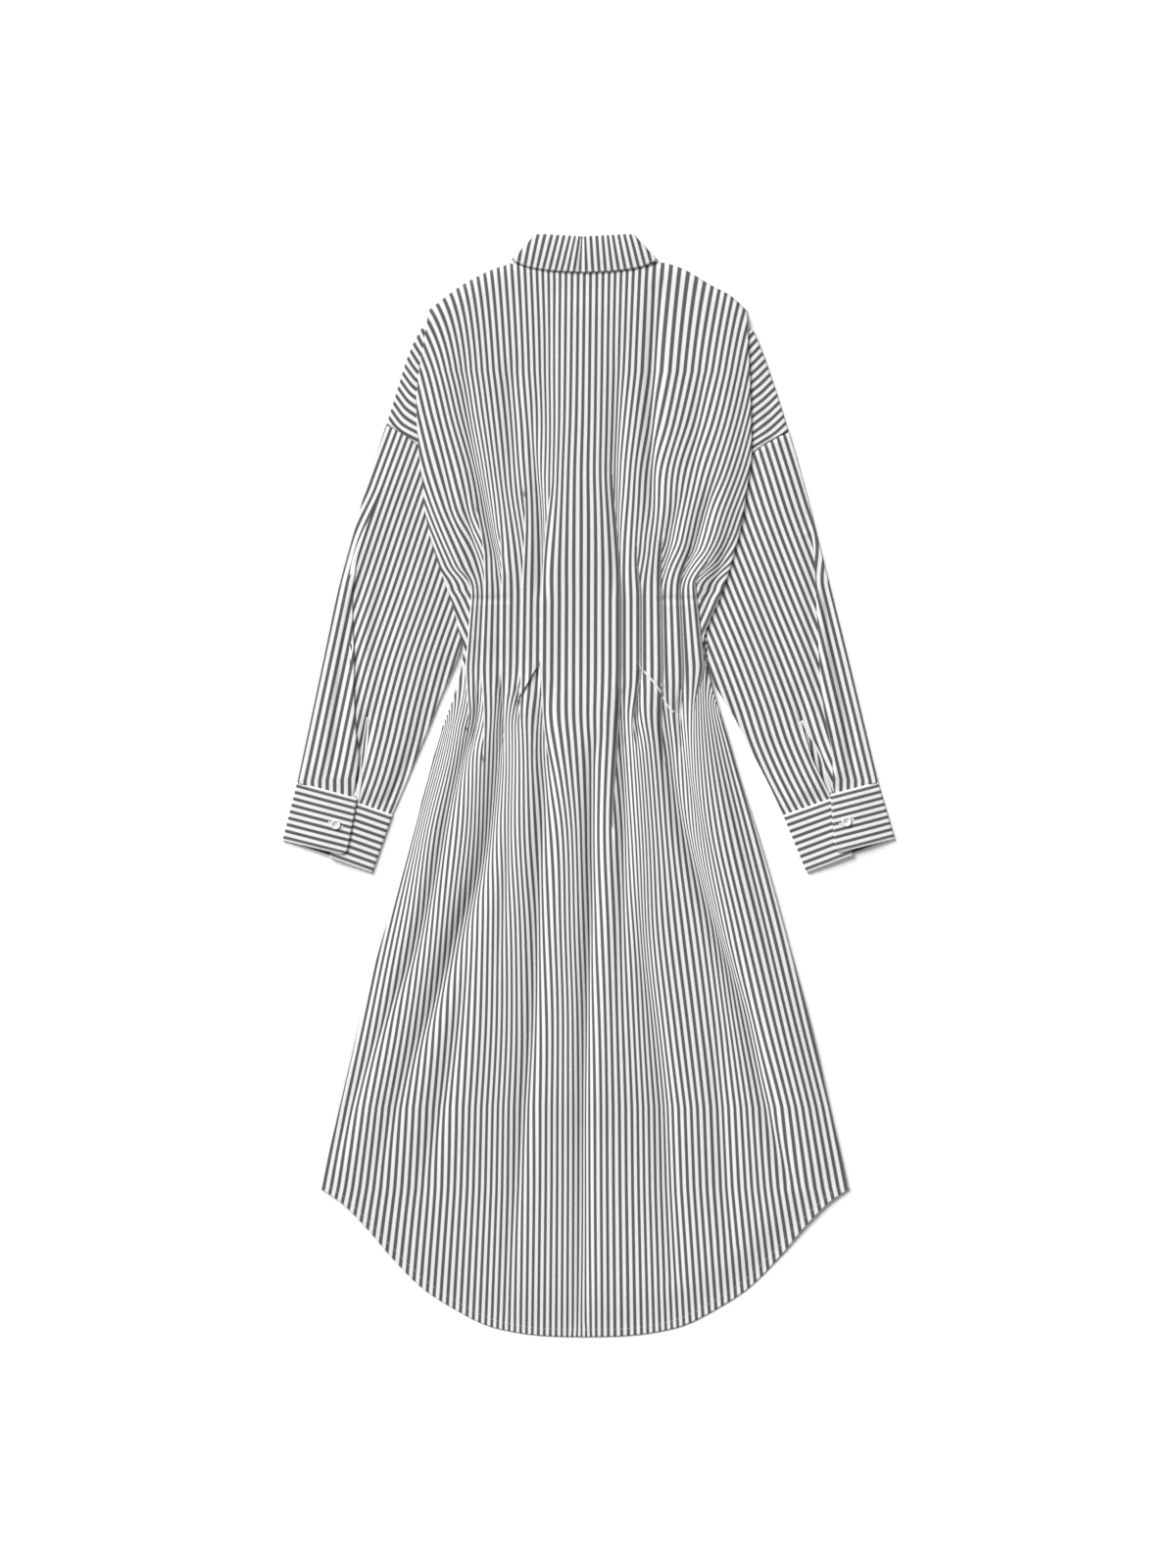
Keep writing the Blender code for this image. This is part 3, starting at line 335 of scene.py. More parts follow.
# Soft troughs: half width, then places down the cloth with the depth there, none at the two ends.
backFolds = (
    # bodice
    (11, (-87, 480), (-86, 440, 1.5), (-83, 380, 1.6), (-80, 330)),
    (9, (-143, 490), (-135, 430, 1.2), (-127, 364, 1.8), (-112, 305, 3.2), (-103, 262, 2.6), (-98, 235)),
    (7, (-141, 335), (-132, 290, 1.8), (-124, 250, 0.8), (-120, 225)),
    (8, (-70, 430), (-60, 370, 1.6), (-51, 290, 2.6), (-51, 225, 1.6), (-52, 205)),
    (9, (36, 500), (34, 430, 1.5), (32, 350, 2.4), (35, 240, 1.6), (36, 205)),
    (9, (78, 560, 0.6), (75, 500, 2.2), (72, 400, 2.6), (73, 320, 1.8), (74, 280)),
    (8, (104, 330), (95, 290, 1.8), (87, 240, 1.2), (84, 215)),
    (8, (142, 345), (132, 305, 2.4), (118, 260, 2.6), (106, 220, 0.6), (104, 205)),
    (7, (160, 285), (150, 245, 1.8), (133, 200, 1), (128, 180)),
    (9, (-170, 420), (-160, 350, 1.2), (-150, 290, 0.8), (-142, 250)),
    (10, (130, 470), (126, 420, 1), (120, 360, 0.8), (118, 330)),
    (12, (-45, 560), (-44, 500, 0.8), (-46, 430, 0.6), (-48, 380)),
    # skirt, left to right
    (10, (-124, 100), (-127, 70, 2.2), (-149, -5, 2.6), (-177, -131, 2.6), (-193, -186, 2.2),
     (-221, -252, 2), (-270, -379, 1.4), (-290, -440)),
    (12, (-95, 100, 0.6), (-96, 60, 2.6), (-103, -16, 3.6), (-116, -87, 4.2), (-149, -181, 4.2),
     (-171, -247, 3.2), (-200, -320, 1.6), (-225, -400, 0.8), (-240, -460)),
    (13, (-122, -110), (-131, -160, 1.6), (-149, -291, 2), (-171, -390, 1.6), (-190, -480)),
    (10, (-50, 118), (-50, 78, 2.4), (-48, -5, 3), (-53, -104, 2.8), (-59, -247, 2.4),
     (-70, -362, 2.2), (-77, -445, 1.4), (-86, -530, 0.8), (-90, -600, 0.3)),
    (7, (-78, 95), (-83, 40, 0.8), (-88, -40, 1.4), (-94, -140, 1), (-100, -220)),
    (9, (8, 60), (5, 23, 2.2), (5, -115, 4.2), (0, -252, 3.2), (-4, -362, 2.4), (-5, -516, 1.8),
     (-9, -610, 0.8)),
    (9, (39, 110, 0.4), (40, 70, 2.6), (42, -32, 3), (40, -130, 2.2), (38, -230, 0.6), (36, -300)),
    (12, (58, -110), (64, -190, 1.4), (82, -307, 2), (90, -445, 1.6), (96, -560, 0.6)),
    (11, (86, 110, 0.4), (90, 70, 3), (101, -16, 3.8), (126, -104, 4.6), (159, -197, 4.6),
     (178, -252, 3.8), (197, -346, 2.6), (212, -400, 2), (232, -452, 0.6)),
    (8, (104, 105), (106, 60, 1.8), (116, 0, 1.4), (134, -60, 0.8), (150, -110)),
    (2.6, (36.5, 108), (36.6, 92, 3.2), (37.2, 70, 3.2), (40, 36)),
    (2.4, (56, 104), (55.5, 76, 3), (55.6, 62, 3), (57, 36)),
    (2.6, (-97.5, 124), (-97, 108, 3.4), (-96.5, 90, 1.6), (-95, 60, 1.8), (-97, 30)),
    (2.6, (-80, 112), (-77.5, 98, 3), (-79, 80, 1), (-82, 50)),
    (3, (-124, 118), (-123, 98, 2.6), (-126, 60, 2.8), (-128, 36)),
    (2.6, (103, 110), (102, 76, 3), (103, 60, 2.6), (105, 30)),
    (2.8, (-56, 140), (-56.5, 130, 2.4), (-57.5, 112, 0.8), (-60, 90)),
    (2.6, (58, 131), (58.6, 120, 2.4), (59, 108)),
    (11, (140, -270), (146, -330, 1.2), (152, -420, 1.2), (158, -520, 0.5)),
    (10, (150, 40), (172, -50, 1.2), (196, -150, 1.4), (214, -230, 0.8), (228, -290)),
)
# Below the band two groups of stripes end in a folded lip that runs outwards and down.
# A row of the mesh follows both lips: its drop below flapLine, from left to right.
flapLine = 136
flapFoot = 28            # the rows run level again from here down
farFromFlap = 400
lipWidth = dict(above=1.6, below=0.8)
flapDrop = ((-190, 0), (-112, -20), (-80, -45), (-67, -21), (-54.2, 2), (-40, 0), (40, 0), (58.4, -5),
            (70, -16), (79.4, -27), (84, -39), (91, -48), (96, -56), (118, -30), (190, 0))
flapHeights = ((-86, 0), (-81, 1.8), (-66, 2.6), (-55, 1.8), (-52, 0), (55, 0), (59, 1.8), (72, 3),
               (92, 2.4), (98, 0))


def hemY(x, share=1.0):
    rise = read(hemCurve, "rise", np.abs(x - hem["middle"]))
    return hem["corner"] - (hem["corner"] - hem["bottom"] - rise) * share


def neckline(x):
    # the seam with the collar stand
    across = np.abs(x - centreX)
    return throughPoints((0, 40, 62, 70.5), (584.9, 585.9, 588.0, 588.6), across)


def backTop(x):
    across = np.abs(x - centreX)
    return np.where(across < 70.4, neckline(x), read(shoulderLine, "y", x))


def insideBody(x, y):
    return np.minimum(x - read(body, "left", y), read(body, "right", y) - x)


def troughs(folds, x, y, strength=1.65):
    # sum of the soft troughs at a place; also how far the cloth is drawn towards them
    depth, pull = np.zeros_like(x), np.zeros_like(x)
    for width, *places in folds:
        xs, ys, depths = np.array([(*place, 0)[:3] for place in places], float).T
        inReach = (y < ys[0]) & (y > ys[-1])
        if not np.any(inReach):
            continue
        off = x - throughPoints(ys, xs, y)
        amount = throughPoints(ys, depths, y) * inReach * strength
        bell = np.exp(-(off / width) ** 2)
        depth += amount * bell
        pull += off * bell * np.clip(amount / width, -0.2, 0.42) * 0.9
    return depth, pull


def tuckState(tuck, y):
    # 0 to 1 as the tuck closes, and the place of its lip
    above = smooth((tuck["openAbove"] - y) / (tuck["openAbove"] - sewn["top"]))
    below = smooth((y - tuck["openBelow"]) / (sewn["bottom"] + 6 - tuck["openBelow"]))
    share = np.clip((sewn["top"] - y) / (sewn["top"] - sewn["bottom"]), 0, 1)
    return min(above, below), tuck["side"] * mix(tuck["topX"], tuck["bottomX"], share)


def stripePlaces(y, below):
    stripesAt, rows = (skirtStripes, skirtRows) if below else (bodiceStripes, bodiceRows)
    heights, places = zip(*rows)
    return stripesAt, [throughPoints(heights, values, y) for values in zip(*places)]


def stripeRow(y, below):
    # a function that gives x for a stripe number at this height, and the tucks' state
    numbers, places = stripePlaces(y, below)
    kind = "below" if below else "above"
    states = []
    for tuck in tucks:
        closed, lipX = tuckState(tuck, y)
        run = tuck["slant"] * ((splitY if below else sewn["top"]) - max(y, sewn["bottom"]))
        inner, outer = tuck["side"] * tuck[kind + "In"], tuck["side"] * (tuck[kind + "Out"] + max(run, -0.6))
        states.append(dict(tuck, closed=closed, lipX=lipX, inner=inner, outer=outer,
                           emerges=inner + closed * (outer - inner)))
    marks = []                            # number, place and closing at each lip
    folds = []                            # stripe numbers with the folds and without them
    foldEnds = (("outer", "outer"), ("emerges", "inner"), ("inner", "inner"))
    for s in states[4::-1] + states[5:]:
        order = -s["side"]
        marks += [(s[k], s["lipX"], s["closed"]) for k in ("outer", "inner")[::order]]
        folds += [(s[a], s[b]) for a, b in foldEnds[::order]]
    for edge, s, at in (("left", states[4], 0), ("right", states[9], len(marks) + 1)):
        edgeX = s["lipX"] + s["side"] * max(abs(read(body, edge, y)) - abs(s["lipX"]), 0.8)
        marks.insert(at, (s["outer"] + (edgeX - s["lipX"]) / sewn["sidePitch"], edgeX, s["closed"]))
    knots, lips, closing = zip(*marks)
    folded, flat = zip((-90, -90), *folds, (90, 90))
    pitches = [(places[a] - places[b]) / (numbers[a] - numbers[b]) for a, b in ((1, 0), (-1, -2))]

    def runOn(number, at, values, inside, leftPitch, rightPitch):
        x = np.where(number < at[0], values[0] + (number - at[0]) * leftPitch, inside)
        return np.where(number > at[-1], values[-1] + (number - at[-1]) * rightPitch, x)

    def place(number):
        number = np.interp(number, folded, flat)
        x = runOn(number, numbers, places, throughPoints(numbers, places, number), *pitches)
        # in the sewn band, each group of stripes lies evenly between two lips
        evenly = np.interp(number, knots, lips)
        band = runOn(number, knots, lips, evenly, sewn["sidePitch"], sewn["sidePitch"])
        return mix(x, band, np.interp(number, knots, closing))

    return place, states


# Columns of the back's mesh: how many between one line and the next, out from the middle.
backColumns = dict(middle=13, group=10, hidden=6, edge=12)


def columnAnchors(place, mine, y, side, edgeX, middle):
    # stripe number of each anchor column, from the middle to the folded edge
    probe = middle + side * np.linspace(0.0, 70.0, 701)
    xs = place(probe) * side
    beyond = np.argmax(xs > side * edgeX) if np.any(xs > side * edgeX) else len(xs) - 1
    a, b = max(beyond - 1, 0), beyond
    share = (side * edgeX - xs[a]) / max(xs[b] - xs[a], 1e-6)
    edge = mix(probe[a], probe[b], share)
    counts = [backColumns["middle"]]
    for _ in mine:
        counts += [backColumns["hidden"], backColumns["group"]]
    counts[-1] = backColumns["edge"]
    total = sum(counts)
    done, numbers, current = 0, [], middle
    for k, state in enumerate(mine):
        held = smooth((state["openAbove"] + 45 - y) / 40) * smooth((y - state["openBelow"] + 60) / 55)
        for which, count in (("inner", counts[2 * k]), ("emerges", counts[2 * k + 1])):
            even = current + (edge - current) * count / (total - done)
            done += count
            current = mix(even, state[which], held)
            current = side * min(side * current, side * edge - 0.02 * (total - done))
            numbers.append(current)
    return numbers, edge, counts


def backRow(y, below):
    # one row of the back: points across it and their stripe numbers, with the turned edges
    place, states = stripeRow(y, below)
    middle = 2.0 if below else 0.0
    halves = []
    for side, edgeName in ((-1, "left"), (1, "right")):
        edgeX = read(body, edgeName, y) - side * lay["edgeRadius"]
        mine = [s for s in states if s["side"] == side]
        anchors, edge, counts = columnAnchors(place, mine, y, side, edgeX, middle)
        half, start = [], middle                       # stripe numbers, lift and slide
        for k, (stop, count) in enumerate(zip(anchors + [edge], counts)):
            shares = np.arange(0 if k == 0 else 1, count + 1) / count
            state = mine[min(k // 2, len(mine) - 1)]
            closed = state["closed"] if k // 2 < len(mine) else 0.0
            if k % 2:                                  # inside a tuck
                slide = -side * np.interp(shares, *tuckFold["back"]) * state["depth"] * closed
                rise = np.interp(shares, *tuckFold["height"])
            else:
                slide = np.zeros(len(shares))
                rise = smooth((shares - 0.45 * (k == 0)) / (0.75 if k else 0.45))
            half.append((mix(start, stop, shares), sewn["lip"] * closed * rise, slide))
            start = stop
        halves.append([np.concatenate(part) for part in zip(*half)])
    numbers, lift, slide = (np.concatenate([left[::-1], right[1:]]) for left, right in zip(*halves))
    return place(numbers), numbers, lift, slide


def backLie(x, y):
    nearLeft = np.exp(-(((x - read(body, "left", y)) / lay["sleeveEase"]) ** 2))
    nearRight = np.exp(-(((read(body, "right", y) - x) / lay["sleeveEase"]) ** 2))
    lift = read(body, "liftL", y) * nearLeft + read(body, "liftR", y) * nearRight
    buttoned = smooth((560 - y) / 30) * smooth((y + 400) / 60)
    closing = lay["closingRise"] * np.exp(-(((x - centreX) / lay["closingEase"]) ** 2)) * buttoned
    return lay["back"] + lift + closing


def flapHeight(x, level):
    # level is the height of the row before it was bent to follow the lips
    rise = np.interp(x, *zip(*flapHeights))
    above = level - flapLine
    return rise * np.where(above > 0, np.exp(-above / 9), -0.25 * np.exp(above / 7))


def backHeight(x, y, lift, level, slide=0.0):
    toTop = backTop(x) - y
    toHem = y - hemY(x)
    inside = insideBody(x, y)
    lie = backLie(x, y)
    lie = mix(2.2, lie, smooth(toTop / 14))
    onFloor = smooth((262 - np.abs(x - hem["middle"])) / 70)
    lie = mix(mix(lay["back"] - 0.6, 0.5, onFloor), lie, smooth(toHem / 50))
    depth, _ = troughs(backFolds, x, y)
    plateau = 1.25 * read(body, "folds", y) * smooth(inside / 34 + 0.08)
    plateau *= smooth(toTop / 60 + 0.1) * mix(0.35, 1.0, smooth(toHem / 70))
    scale = smooth(toTop / 30 + 0.2) * mix(0.55, 1.0, smooth(toHem / 60))
    # the sewing starts in a faint line across the tucks at each side
    off = np.abs(x - centreX)
    atTucks = smooth((off - 78) / 10) * smooth((140 - off) / 10)
    pinch = sewn["pinch"] * atTucks * np.exp(-((y - sewn["top"] + 1.5) / sewn["pinchWidth"]) ** 2)
    relief = plateau - depth * scale - pinch
    relief = np.where(relief < 0, relief / (1 + np.abs(relief) * 0.45), relief)
    return lie + relief + lift + flapHeight(x + slide, level)


def turnedEdge(place, number, side, turn):
    # the folded edge: round the bend and back under itself
    x, y, z = place
    radius = lay["edgeRadius"]
    points, lengths = [], []
    for angle in np.radians((60, 20, -20, -60, -90)):
        points.append((x + side * radius * math.cos(angle), y, z + radius * (math.sin(angle) - 1)))
        lengths.append(radius * (math.pi / 2 - angle))
    for share in (0.35, 0.7, 1.0):
        points.append((x - side * turn * share, y, z - 2 * radius - 0.25 * share))
        lengths.append(radius * math.pi + turn * share)
    return points, [number + side * length / cloth["repeat"] for length in lengths]


def backBlock(levels, below):
    plans = []         # x, y, stripe number, lift, slide, and the row's height before it was bent
    straight = [backRow(y, below) for y in levels]
    none = np.zeros(len(straight[0][0]))
    if below:
        heights = np.array(levels)
        grids = [np.array([row[k] for row in straight]) for k in range(4)]
        for r, y in enumerate(levels):
            level = flapFoot if y < flapLine else splitY
            bent = smooth((y - level) / (flapLine - level))
            rowY = y + np.interp(grids[0][r] + grids[3][r], *zip(*flapDrop)) * bent
            x, numbers, lift, slide = (np.array([np.interp(-rowY[c], -heights, grid[:, c])
                                                 for c in range(len(rowY))]) for grid in grids)
            plans.append((x, rowY, numbers, lift, slide, y))
        x0, numbers0 = straight[-1][:2]
        x1, numbers1 = backRow(hem["corner"], True)[:2]
        flare = np.interp(numbers0, skirtStripes, np.subtract(skirtRows[-1][1], skirtRows[-2][1]) * 0.5)
        for share in [*np.linspace(0, 1, 27)[1:-1], 0.994, 1.0]:       # a close row keeps the edge flat
            y = mix(levels[-1], hemY(x1), share)
            deeper = np.clip((hem["corner"] - y) / (hem["corner"] - hem["bottom"]), 0, 1)
            x = mix(x0, x1, share) + flare * deeper * 0.6
            plans.append((x, y, mix(numbers0, numbers1, share), none, none, -farFromFlap))
    else:
        x0, numbers0 = straight[0][:2]
        x1, numbers1 = backRow(533.0, False)[:2]
        for share in np.linspace(0, 1, 15)[:-1]:
            y = mix(backTop(x1), levels[0], share)
            plans.append((mix(x1, x0, share), y, mix(numbers1, numbers0, share), none, none, farFromFlap))
        plans += [(x, np.full_like(x, y), *others, farFromFlap) for y, (x, *others) in zip(levels, straight)]
    rows, numberRows = [], []
    for x, y, numbers, lift, slide, level in plans:
        x = x - troughs(backFolds, x, y)[1] * smooth(insideBody(x, y) / 16)
        z = backHeight(x, y, lift, level, slide)       # a hidden layer lies as low as its lip
        line = list(zip(x + slide, y, z))
        turn = read(body, "turn", y[0])
        left, leftNumbers = turnedEdge(line[0], numbers[0], -1, turn)
        right, rightNumbers = turnedEdge(line[-1], numbers[-1], 1, turn)
        rows.append(left[::-1] + line + right)
        numberRows.append([*leftNumbers[::-1], *numbers, *rightNumbers])
    return np.array(rows, float), np.array(numberRows, float)


def makeBack():
    lip, foot = flapLine + lipWidth["above"], flapLine - lipWidth["below"]
    upper = [*np.linspace(463, 262, 36), *np.linspace(258, splitY, 34)]
    lower = [*np.linspace(splitY, flapLine + 4.0, 18), flapLine + 2.4, lip, *np.linspace(foot, 40, 26),
             *np.linspace(36, -362, 64)]
    above, under = backBlock(upper, False), backBlock(lower, True)
    under[0][0] = above[0][-1]                         # one row of points, counted both ways
    start = lower.index(lip)
    band, lipRow, skirt = ([part[a:b].copy() for part in under]
                           for a, b in ((0, start + 1), (start, start + 2), (start + 1, None)))
    x = lipRow[0][:, :, 0]
    lipRow[1][(x > -78) & (x < -57)] = 0.0             # painted shade: the left lip's row is drawn all dark, as the shadow of its crease
    lipRow[1][(x > 61) & (x < 95)] = 0.5               # painted highlight: the right lip's row is drawn all white, as its lit fold edge
    return makeSheet("backPanel", "back_panel", [above, band, lipRow, skirt])


back = makeBack()
print("back laid")

front = dict(lap=15.0, inset=0.8, floor=0.3, columns=44, rows=120, topRows=16)
buttonSizes = dict(radius=5.5, height=1.8, hole=0.65, holeAt=1.25)
buttonPlaces = [515.0] + [447.0 - 95.0 * i for i in range(9)]


def frontUnder(x, y):
    # it lies flat, but passes over the buttons and the collar's points
    across = np.abs(x - centreX)
    collar = smooth((y - 430) / 25) * smooth((122 - across) / 30)
    bump = np.zeros_like(x)
    for buttonY in buttonPlaces:
        away = np.hypot(x - centreX, y - buttonY) - buttonSizes["radius"]
        bump = np.maximum(bump, smooth(1 - np.clip(away - 2.0, 0, None) / 34))
    return np.maximum(1.3 * collar, 2.35 * bump)


def frontTop(x, side):
    across = np.clip(side * (x - centreX), 0, None)
    neck = throughPoints((0, 32, 55, 70, 73), (503.7, 516.5, 539.5, 573, 586.5), np.minimum(across, 72))
    return np.where(across < 70.4, neck, read(shoulderLine, "y", x))


def makeFront(name, side, node):
    edge = "left" if side < 0 else "right"
    shares = np.linspace(0, 1, front["columns"])

    def columnsAt(y):
        return mix(centreX - side * front["lap"], read(body, edge, y) - side * front["inset"], shares)

    topX, bottomX = columnsAt(537), columnsAt(hem["corner"])
    plan = [(mix(topX, columnsAt(481), share), mix(frontTop(topX, side), 481.0, share))
            for share in np.linspace(0, 1, front["topRows"])[:-1]]
    plan += [(columnsAt(y), np.full(len(shares), y)) for y in np.linspace(481, -380, front["rows"])]
    plan += [(mix(columnsAt(-380), bottomX, share), mix(-380.0, hemY(bottomX, hem["frontShare"]), share))
             for share in [*np.linspace(0, 1, 14)[1:-1], 0.985, 1.0]]
    x, y = np.array(plan).transpose(1, 0, 2)
    over = smooth((x - centreX + 26) / 10) if side < 0 else 0.0
    z = frontUnder(x, y) + front["floor"] + over * 1.3 + 0.12 * np.sin(x / 17 + y / 60) ** 2
    numbers = (x - centreX) / cloth["repeat"] + 0.5
    return makeSheet(name, node, [(np.stack([x, y, z], axis=-1), numbers)])


frontLeft = makeFront("frontLeft", -1, "front_left")
frontRight = makeFront("frontRight", 1, "front_right")
print("fronts laid")

# Sleeves and dropped shoulders. Each section runs from the outer edge to the inner edge,
# bowed towards the neck.
sleeves = {}
sleeves["left"] = dict(
    side=-1,
    arm=table(
        "t    outerX  outerY  innerX  innerY  bow",
        (0,     -227,    403,   -141,    164,  36),
        (1,     -241,    361,   -147,    143,  22),
        (2,     -254,    317,   -156,    121,  12),
        (3,     -266,    273,   -166,     98,   5),
        (4,     -278,    229,   -175,     75,   0),
        (6,     -297,    141,   -193,     31,   0),
        (7.5,   -311,     75,   -206,     -1,   0),
        (9,   -326.4,    3.1,   -220,  -33.4,   0),
    ),
    shoulder=table(
        "t  outerX  outerY  innerX  innerY  bow",
        (0,   -187,    512,   -163,    500,   0),
        (1,   -197,    493,   -150,    444,   2),
        (2,   -206,    470,   -138,    374,   7),
        (3,   -214,    444,   -131,    286,  17),
        (4, -226.6,  403.2, -140.6,  164.2,  36),
    ),
    slit=table("t across gape", (6.2, 0.50, 0), (7, 0.535, 3.4), (7.7, 0.565, 3.2), (8.3, 0.59, 1.4),
               (9, 0.618, 1.6)),
    pleat=table("t at", (0, 0.07), (3, 0.07), (4, 0.13), (5, 0.24), (6, 0.335), (7, 0.44), (7.5, 0.51),
                (8, 0.56), (9, 0.603)),
    pleatFrom=335,
    innerEdge=((-140.3, 157.2), (-221, -33.6)),
    innerCount=22.3, pitch=7.9, innerPitch=6.8,
    sway=table("y more", (400, 2.6), (308, 1.9), (220, 0.9), (132, 0), (88, -0.9), (44, -2), (0, -2.8),
               (-60, -3)),
    folds=(
        (7, (-226, 340), (-238, 270, 1.6), (-262, 205, 3), (-272, 150, 3.2), (-279, 90, 2.6),
         (-285, 40, 1.8), (-288, 8, 0.6)),
        (5, (-250, 225), (-259, 190, 2), (-258, 140, 1.6), (-256, 100, 0.8), (-256, 60)),
        (8, (-212, 330), (-222, 260, 1.6), (-236, 200, 2), (-240, 160, 1.4), (-246, 110)),
        (8, (-196, 300), (-206, 240, 1.2), (-222, 180, 1), (-234, 110, 0.6), (-238, 70)),
        (6, (-246, 90), (-248, 60, 2.4), (-251, 30, 1.8), (-260, -4, 0.4)),
        (6, (-196, 40), (-207, 10, 1.4), (-222, -20, 0.8)),
        (6, (-176, 150), (-182, 110, 0.9), (-196, 60)),
    ),
    shoulderFolds=((6, (-206, 480), (-204, 440, 2), (-208, 405, 2.2), (-212, 380, 0.6)),),
    shoulderStripes=(412, 8.3, 1, 16, 0.52),
)
sleeves["right"] = dict(
    side=1,
    arm=table(
        "t    outerX  outerY  innerX  innerY  bow",
        (0,      225,    395,    135,    130,  44),
        (1,      235,    361,    141,    113,  28),
        (2,      247,    317,    148,    101,  15),
        (3,      258,    273,    157,     87,   6),
        (4,      269,    229,    166,     71,   0),
        (6,      291,    141,    187,     30,   0),
        (7.5,    307,     75,    203,     -1,   0),
        (9,    324.2,    3.3,  218.7,    -34,   0),
    ),
    shoulder=table(
        "t  outerX  outerY  innerX  innerY  bow",
        (0,    184,    510,    162,    498,   0),
        (1,    191,    494,    146,    438,   3),
        (2,    200,    471,    130,    360,  10),
        (3,    211,    439,    119,    268,  22),
        (4,  224.6,  395.1,  134.6,  130.1,  44),
    ),
    slit=table("t across gape", (6.2, 0.54, 0), (7, 0.53, 6), (7.7, 0.515, 10), (8.4, 0.50, 6),
               (9, 0.488, 1.6)),
    pleat=table("t at", (0, 0.03), (2.5, 0.03), (3, 0.04), (4, 0.13), (5, 0.212), (6, 0.29), (7, 0.333),
                (8, 0.365), (8.5, 0.41), (9, 0.458)),
    pleatFrom=290,
    innerEdge=((133.6, 127), (218.3, -30.2)),
    innerCount=25.6, pitch=7.7, innerPitch=7.2,
    sway=table("y more", (400, 5.6), (352, 4.3), (308, 3.1), (220, 1.4), (132, 0), (88, -0.9), (44, -2),
               (0, -2.5), (-60, -2.6)),
    folds=(
        (6, (262, 300), (268, 210, 1.2), (276, 150, 2.4), (288, 90, 2.6), (296, 30, 1.8), (299, 6, 0.6)),
        (6, (246, 320), (251, 250, 1.6), (252, 190, 2.2), (254, 150, 1.8), (262, 90, 1.4), (268, 60)),
        (7, (232, 120), (238, 92, 2.2), (246, 66, 2.6), (258, 44, 1.6), (270, 10, 0.4)),
        (9, (186, 250), (200, 190, 0.9), (216, 140, 1.2), (226, 105, 0.6), (232, 80)),
        (6, (152, 112), (166, 82, 1.8), (186, 44, 1.6), (206, 4, 1.8), (214, -22, 0.8)),
        (6, (196, 60), (208, 30, 1.2), (226, 0, 1.2), (238, -24, 0.4)),
        (8, (208, 320), (216, 270, 0.9), (230, 210, 0.7), (238, 160)),
    ),
    shoulderFolds=((7, (196, 470), (196, 440, 1), (203, 395, 2), (196, 350, 1)),),
    shoulderStripes=(405.5, 7.8, 0.75, 16, 0.62),
)
sleeveLay = dict(floor=0.3, step=1.6, loft=3, loftEase=26, bowPeak=0.28, pleatLip=1, pleatDepth=5,
                 cuffSkew=4.6, slitFrom=6.2)
bendRadius = sleeveLay["step"] / 2


def chordOf(outer, inner):
    # from edge to edge, and the way towards the neck
    chord = inner - outer
    up = np.array((-chord[1], chord[0])) / np.hypot(*chord)
    return chord, up if up[1] > 0 else -up


def sleevePlan(rows, t, across):
    across = np.asarray(across, float)
    outer, inner = (np.array([read(rows, edge + axis, t) for axis in "XY"]) for edge in ("outer", "inner"))
    chord, up = chordOf(outer, inner)
    peak = sleeveLay["bowPeak"]
    reach = np.where(across < peak, peak, 1 - peak)
    bow = read(rows, "bow", t) * (1 - ((across - peak) / reach) ** 2)
    x, y = (outer[k] + chord[k] * across + up[k] * bow for k in (0, 1))
    return x, y, np.hypot(*chord), up


def lowerLayer(x, y):
    return sleeveLay["floor"] + 1.3 * smooth((insideBody(x, y) + 27) / 22)


def upperLayer(x, y, across, width, folds):
    free = 1 - smooth((insideBody(x, y) + 34) / 30)
    fromEdge = np.minimum(across, 1 - across) * width
    crown = sleeveLay["loft"] * smooth(fromEdge / sleeveLay["loftEase"])
    depth, _ = troughs(folds, x, y)
    crown = crown - depth * smooth(fromEdge / 10)
    crown = np.where(crown < 0, crown / (1 + np.abs(crown) * 1.5), crown)
    return lowerLayer(x, y) + sleeveLay["step"] + crown * free


def nearCuff(t):
    return smooth((t - 8.35) / 0.65)


def intoCuff(t, z, end):
    # the sleeve's end eases to the cuff's height and runs in between its two sides
    return mix(z, end, nearCuff(t))


def sleeveBend(rows, t, inner, angles):
    angles = np.radians(angles)
    width = sleevePlan(rows, t, 0.0)[2]
    share = bendRadius * (1 - np.cos(angles)) / width
    x, y, _, _ = sleevePlan(rows, t, 1 - share if inner else share)
    return x, y, lowerLayer(x, y) + bendRadius * (1 + np.sin(angles))


def outerEdgeX(rows, y):
    return np.interp(-y, -rows["outerY"], rows["outerX"])


def sleeveStripes(arm, x, y):
    # counted from the outer edge where the sleeve has parted in the pleat, and from the inner edge
    side = arm["side"]
    fromOuter = side * (outerEdgeX(arm["arm"], y) - x) * math.cos(math.radians(14.5))
    (x0, y0), (x1, y1) = arm["innerEdge"]
    run = np.array((x1 - x0, y1 - y0)) / math.hypot(x1 - x0, y1 - y0)
    fromInner = side * ((x - x0) * -run[1] + (y - y0) * run[0])
    innerField = arm["innerCount"] - fromInner / arm["innerPitch"] + read(arm["sway"], "more", y)
    return mix(innerField, 1.0 + fromOuter / arm["pitch"], smooth((arm["pleatFrom"] - y) / 70)), innerField


# a bound edge from below to above: how far in from the slit, and how high off the sleeve
boundSection = ((1.4, -0.42), (0.2, -0.4), (-0.28, -0.2), (-0.34, 0.1), (-0.1, 0.38), (0.9, 0.46),
                (1.5, 0.4), (1.7, 0.2))


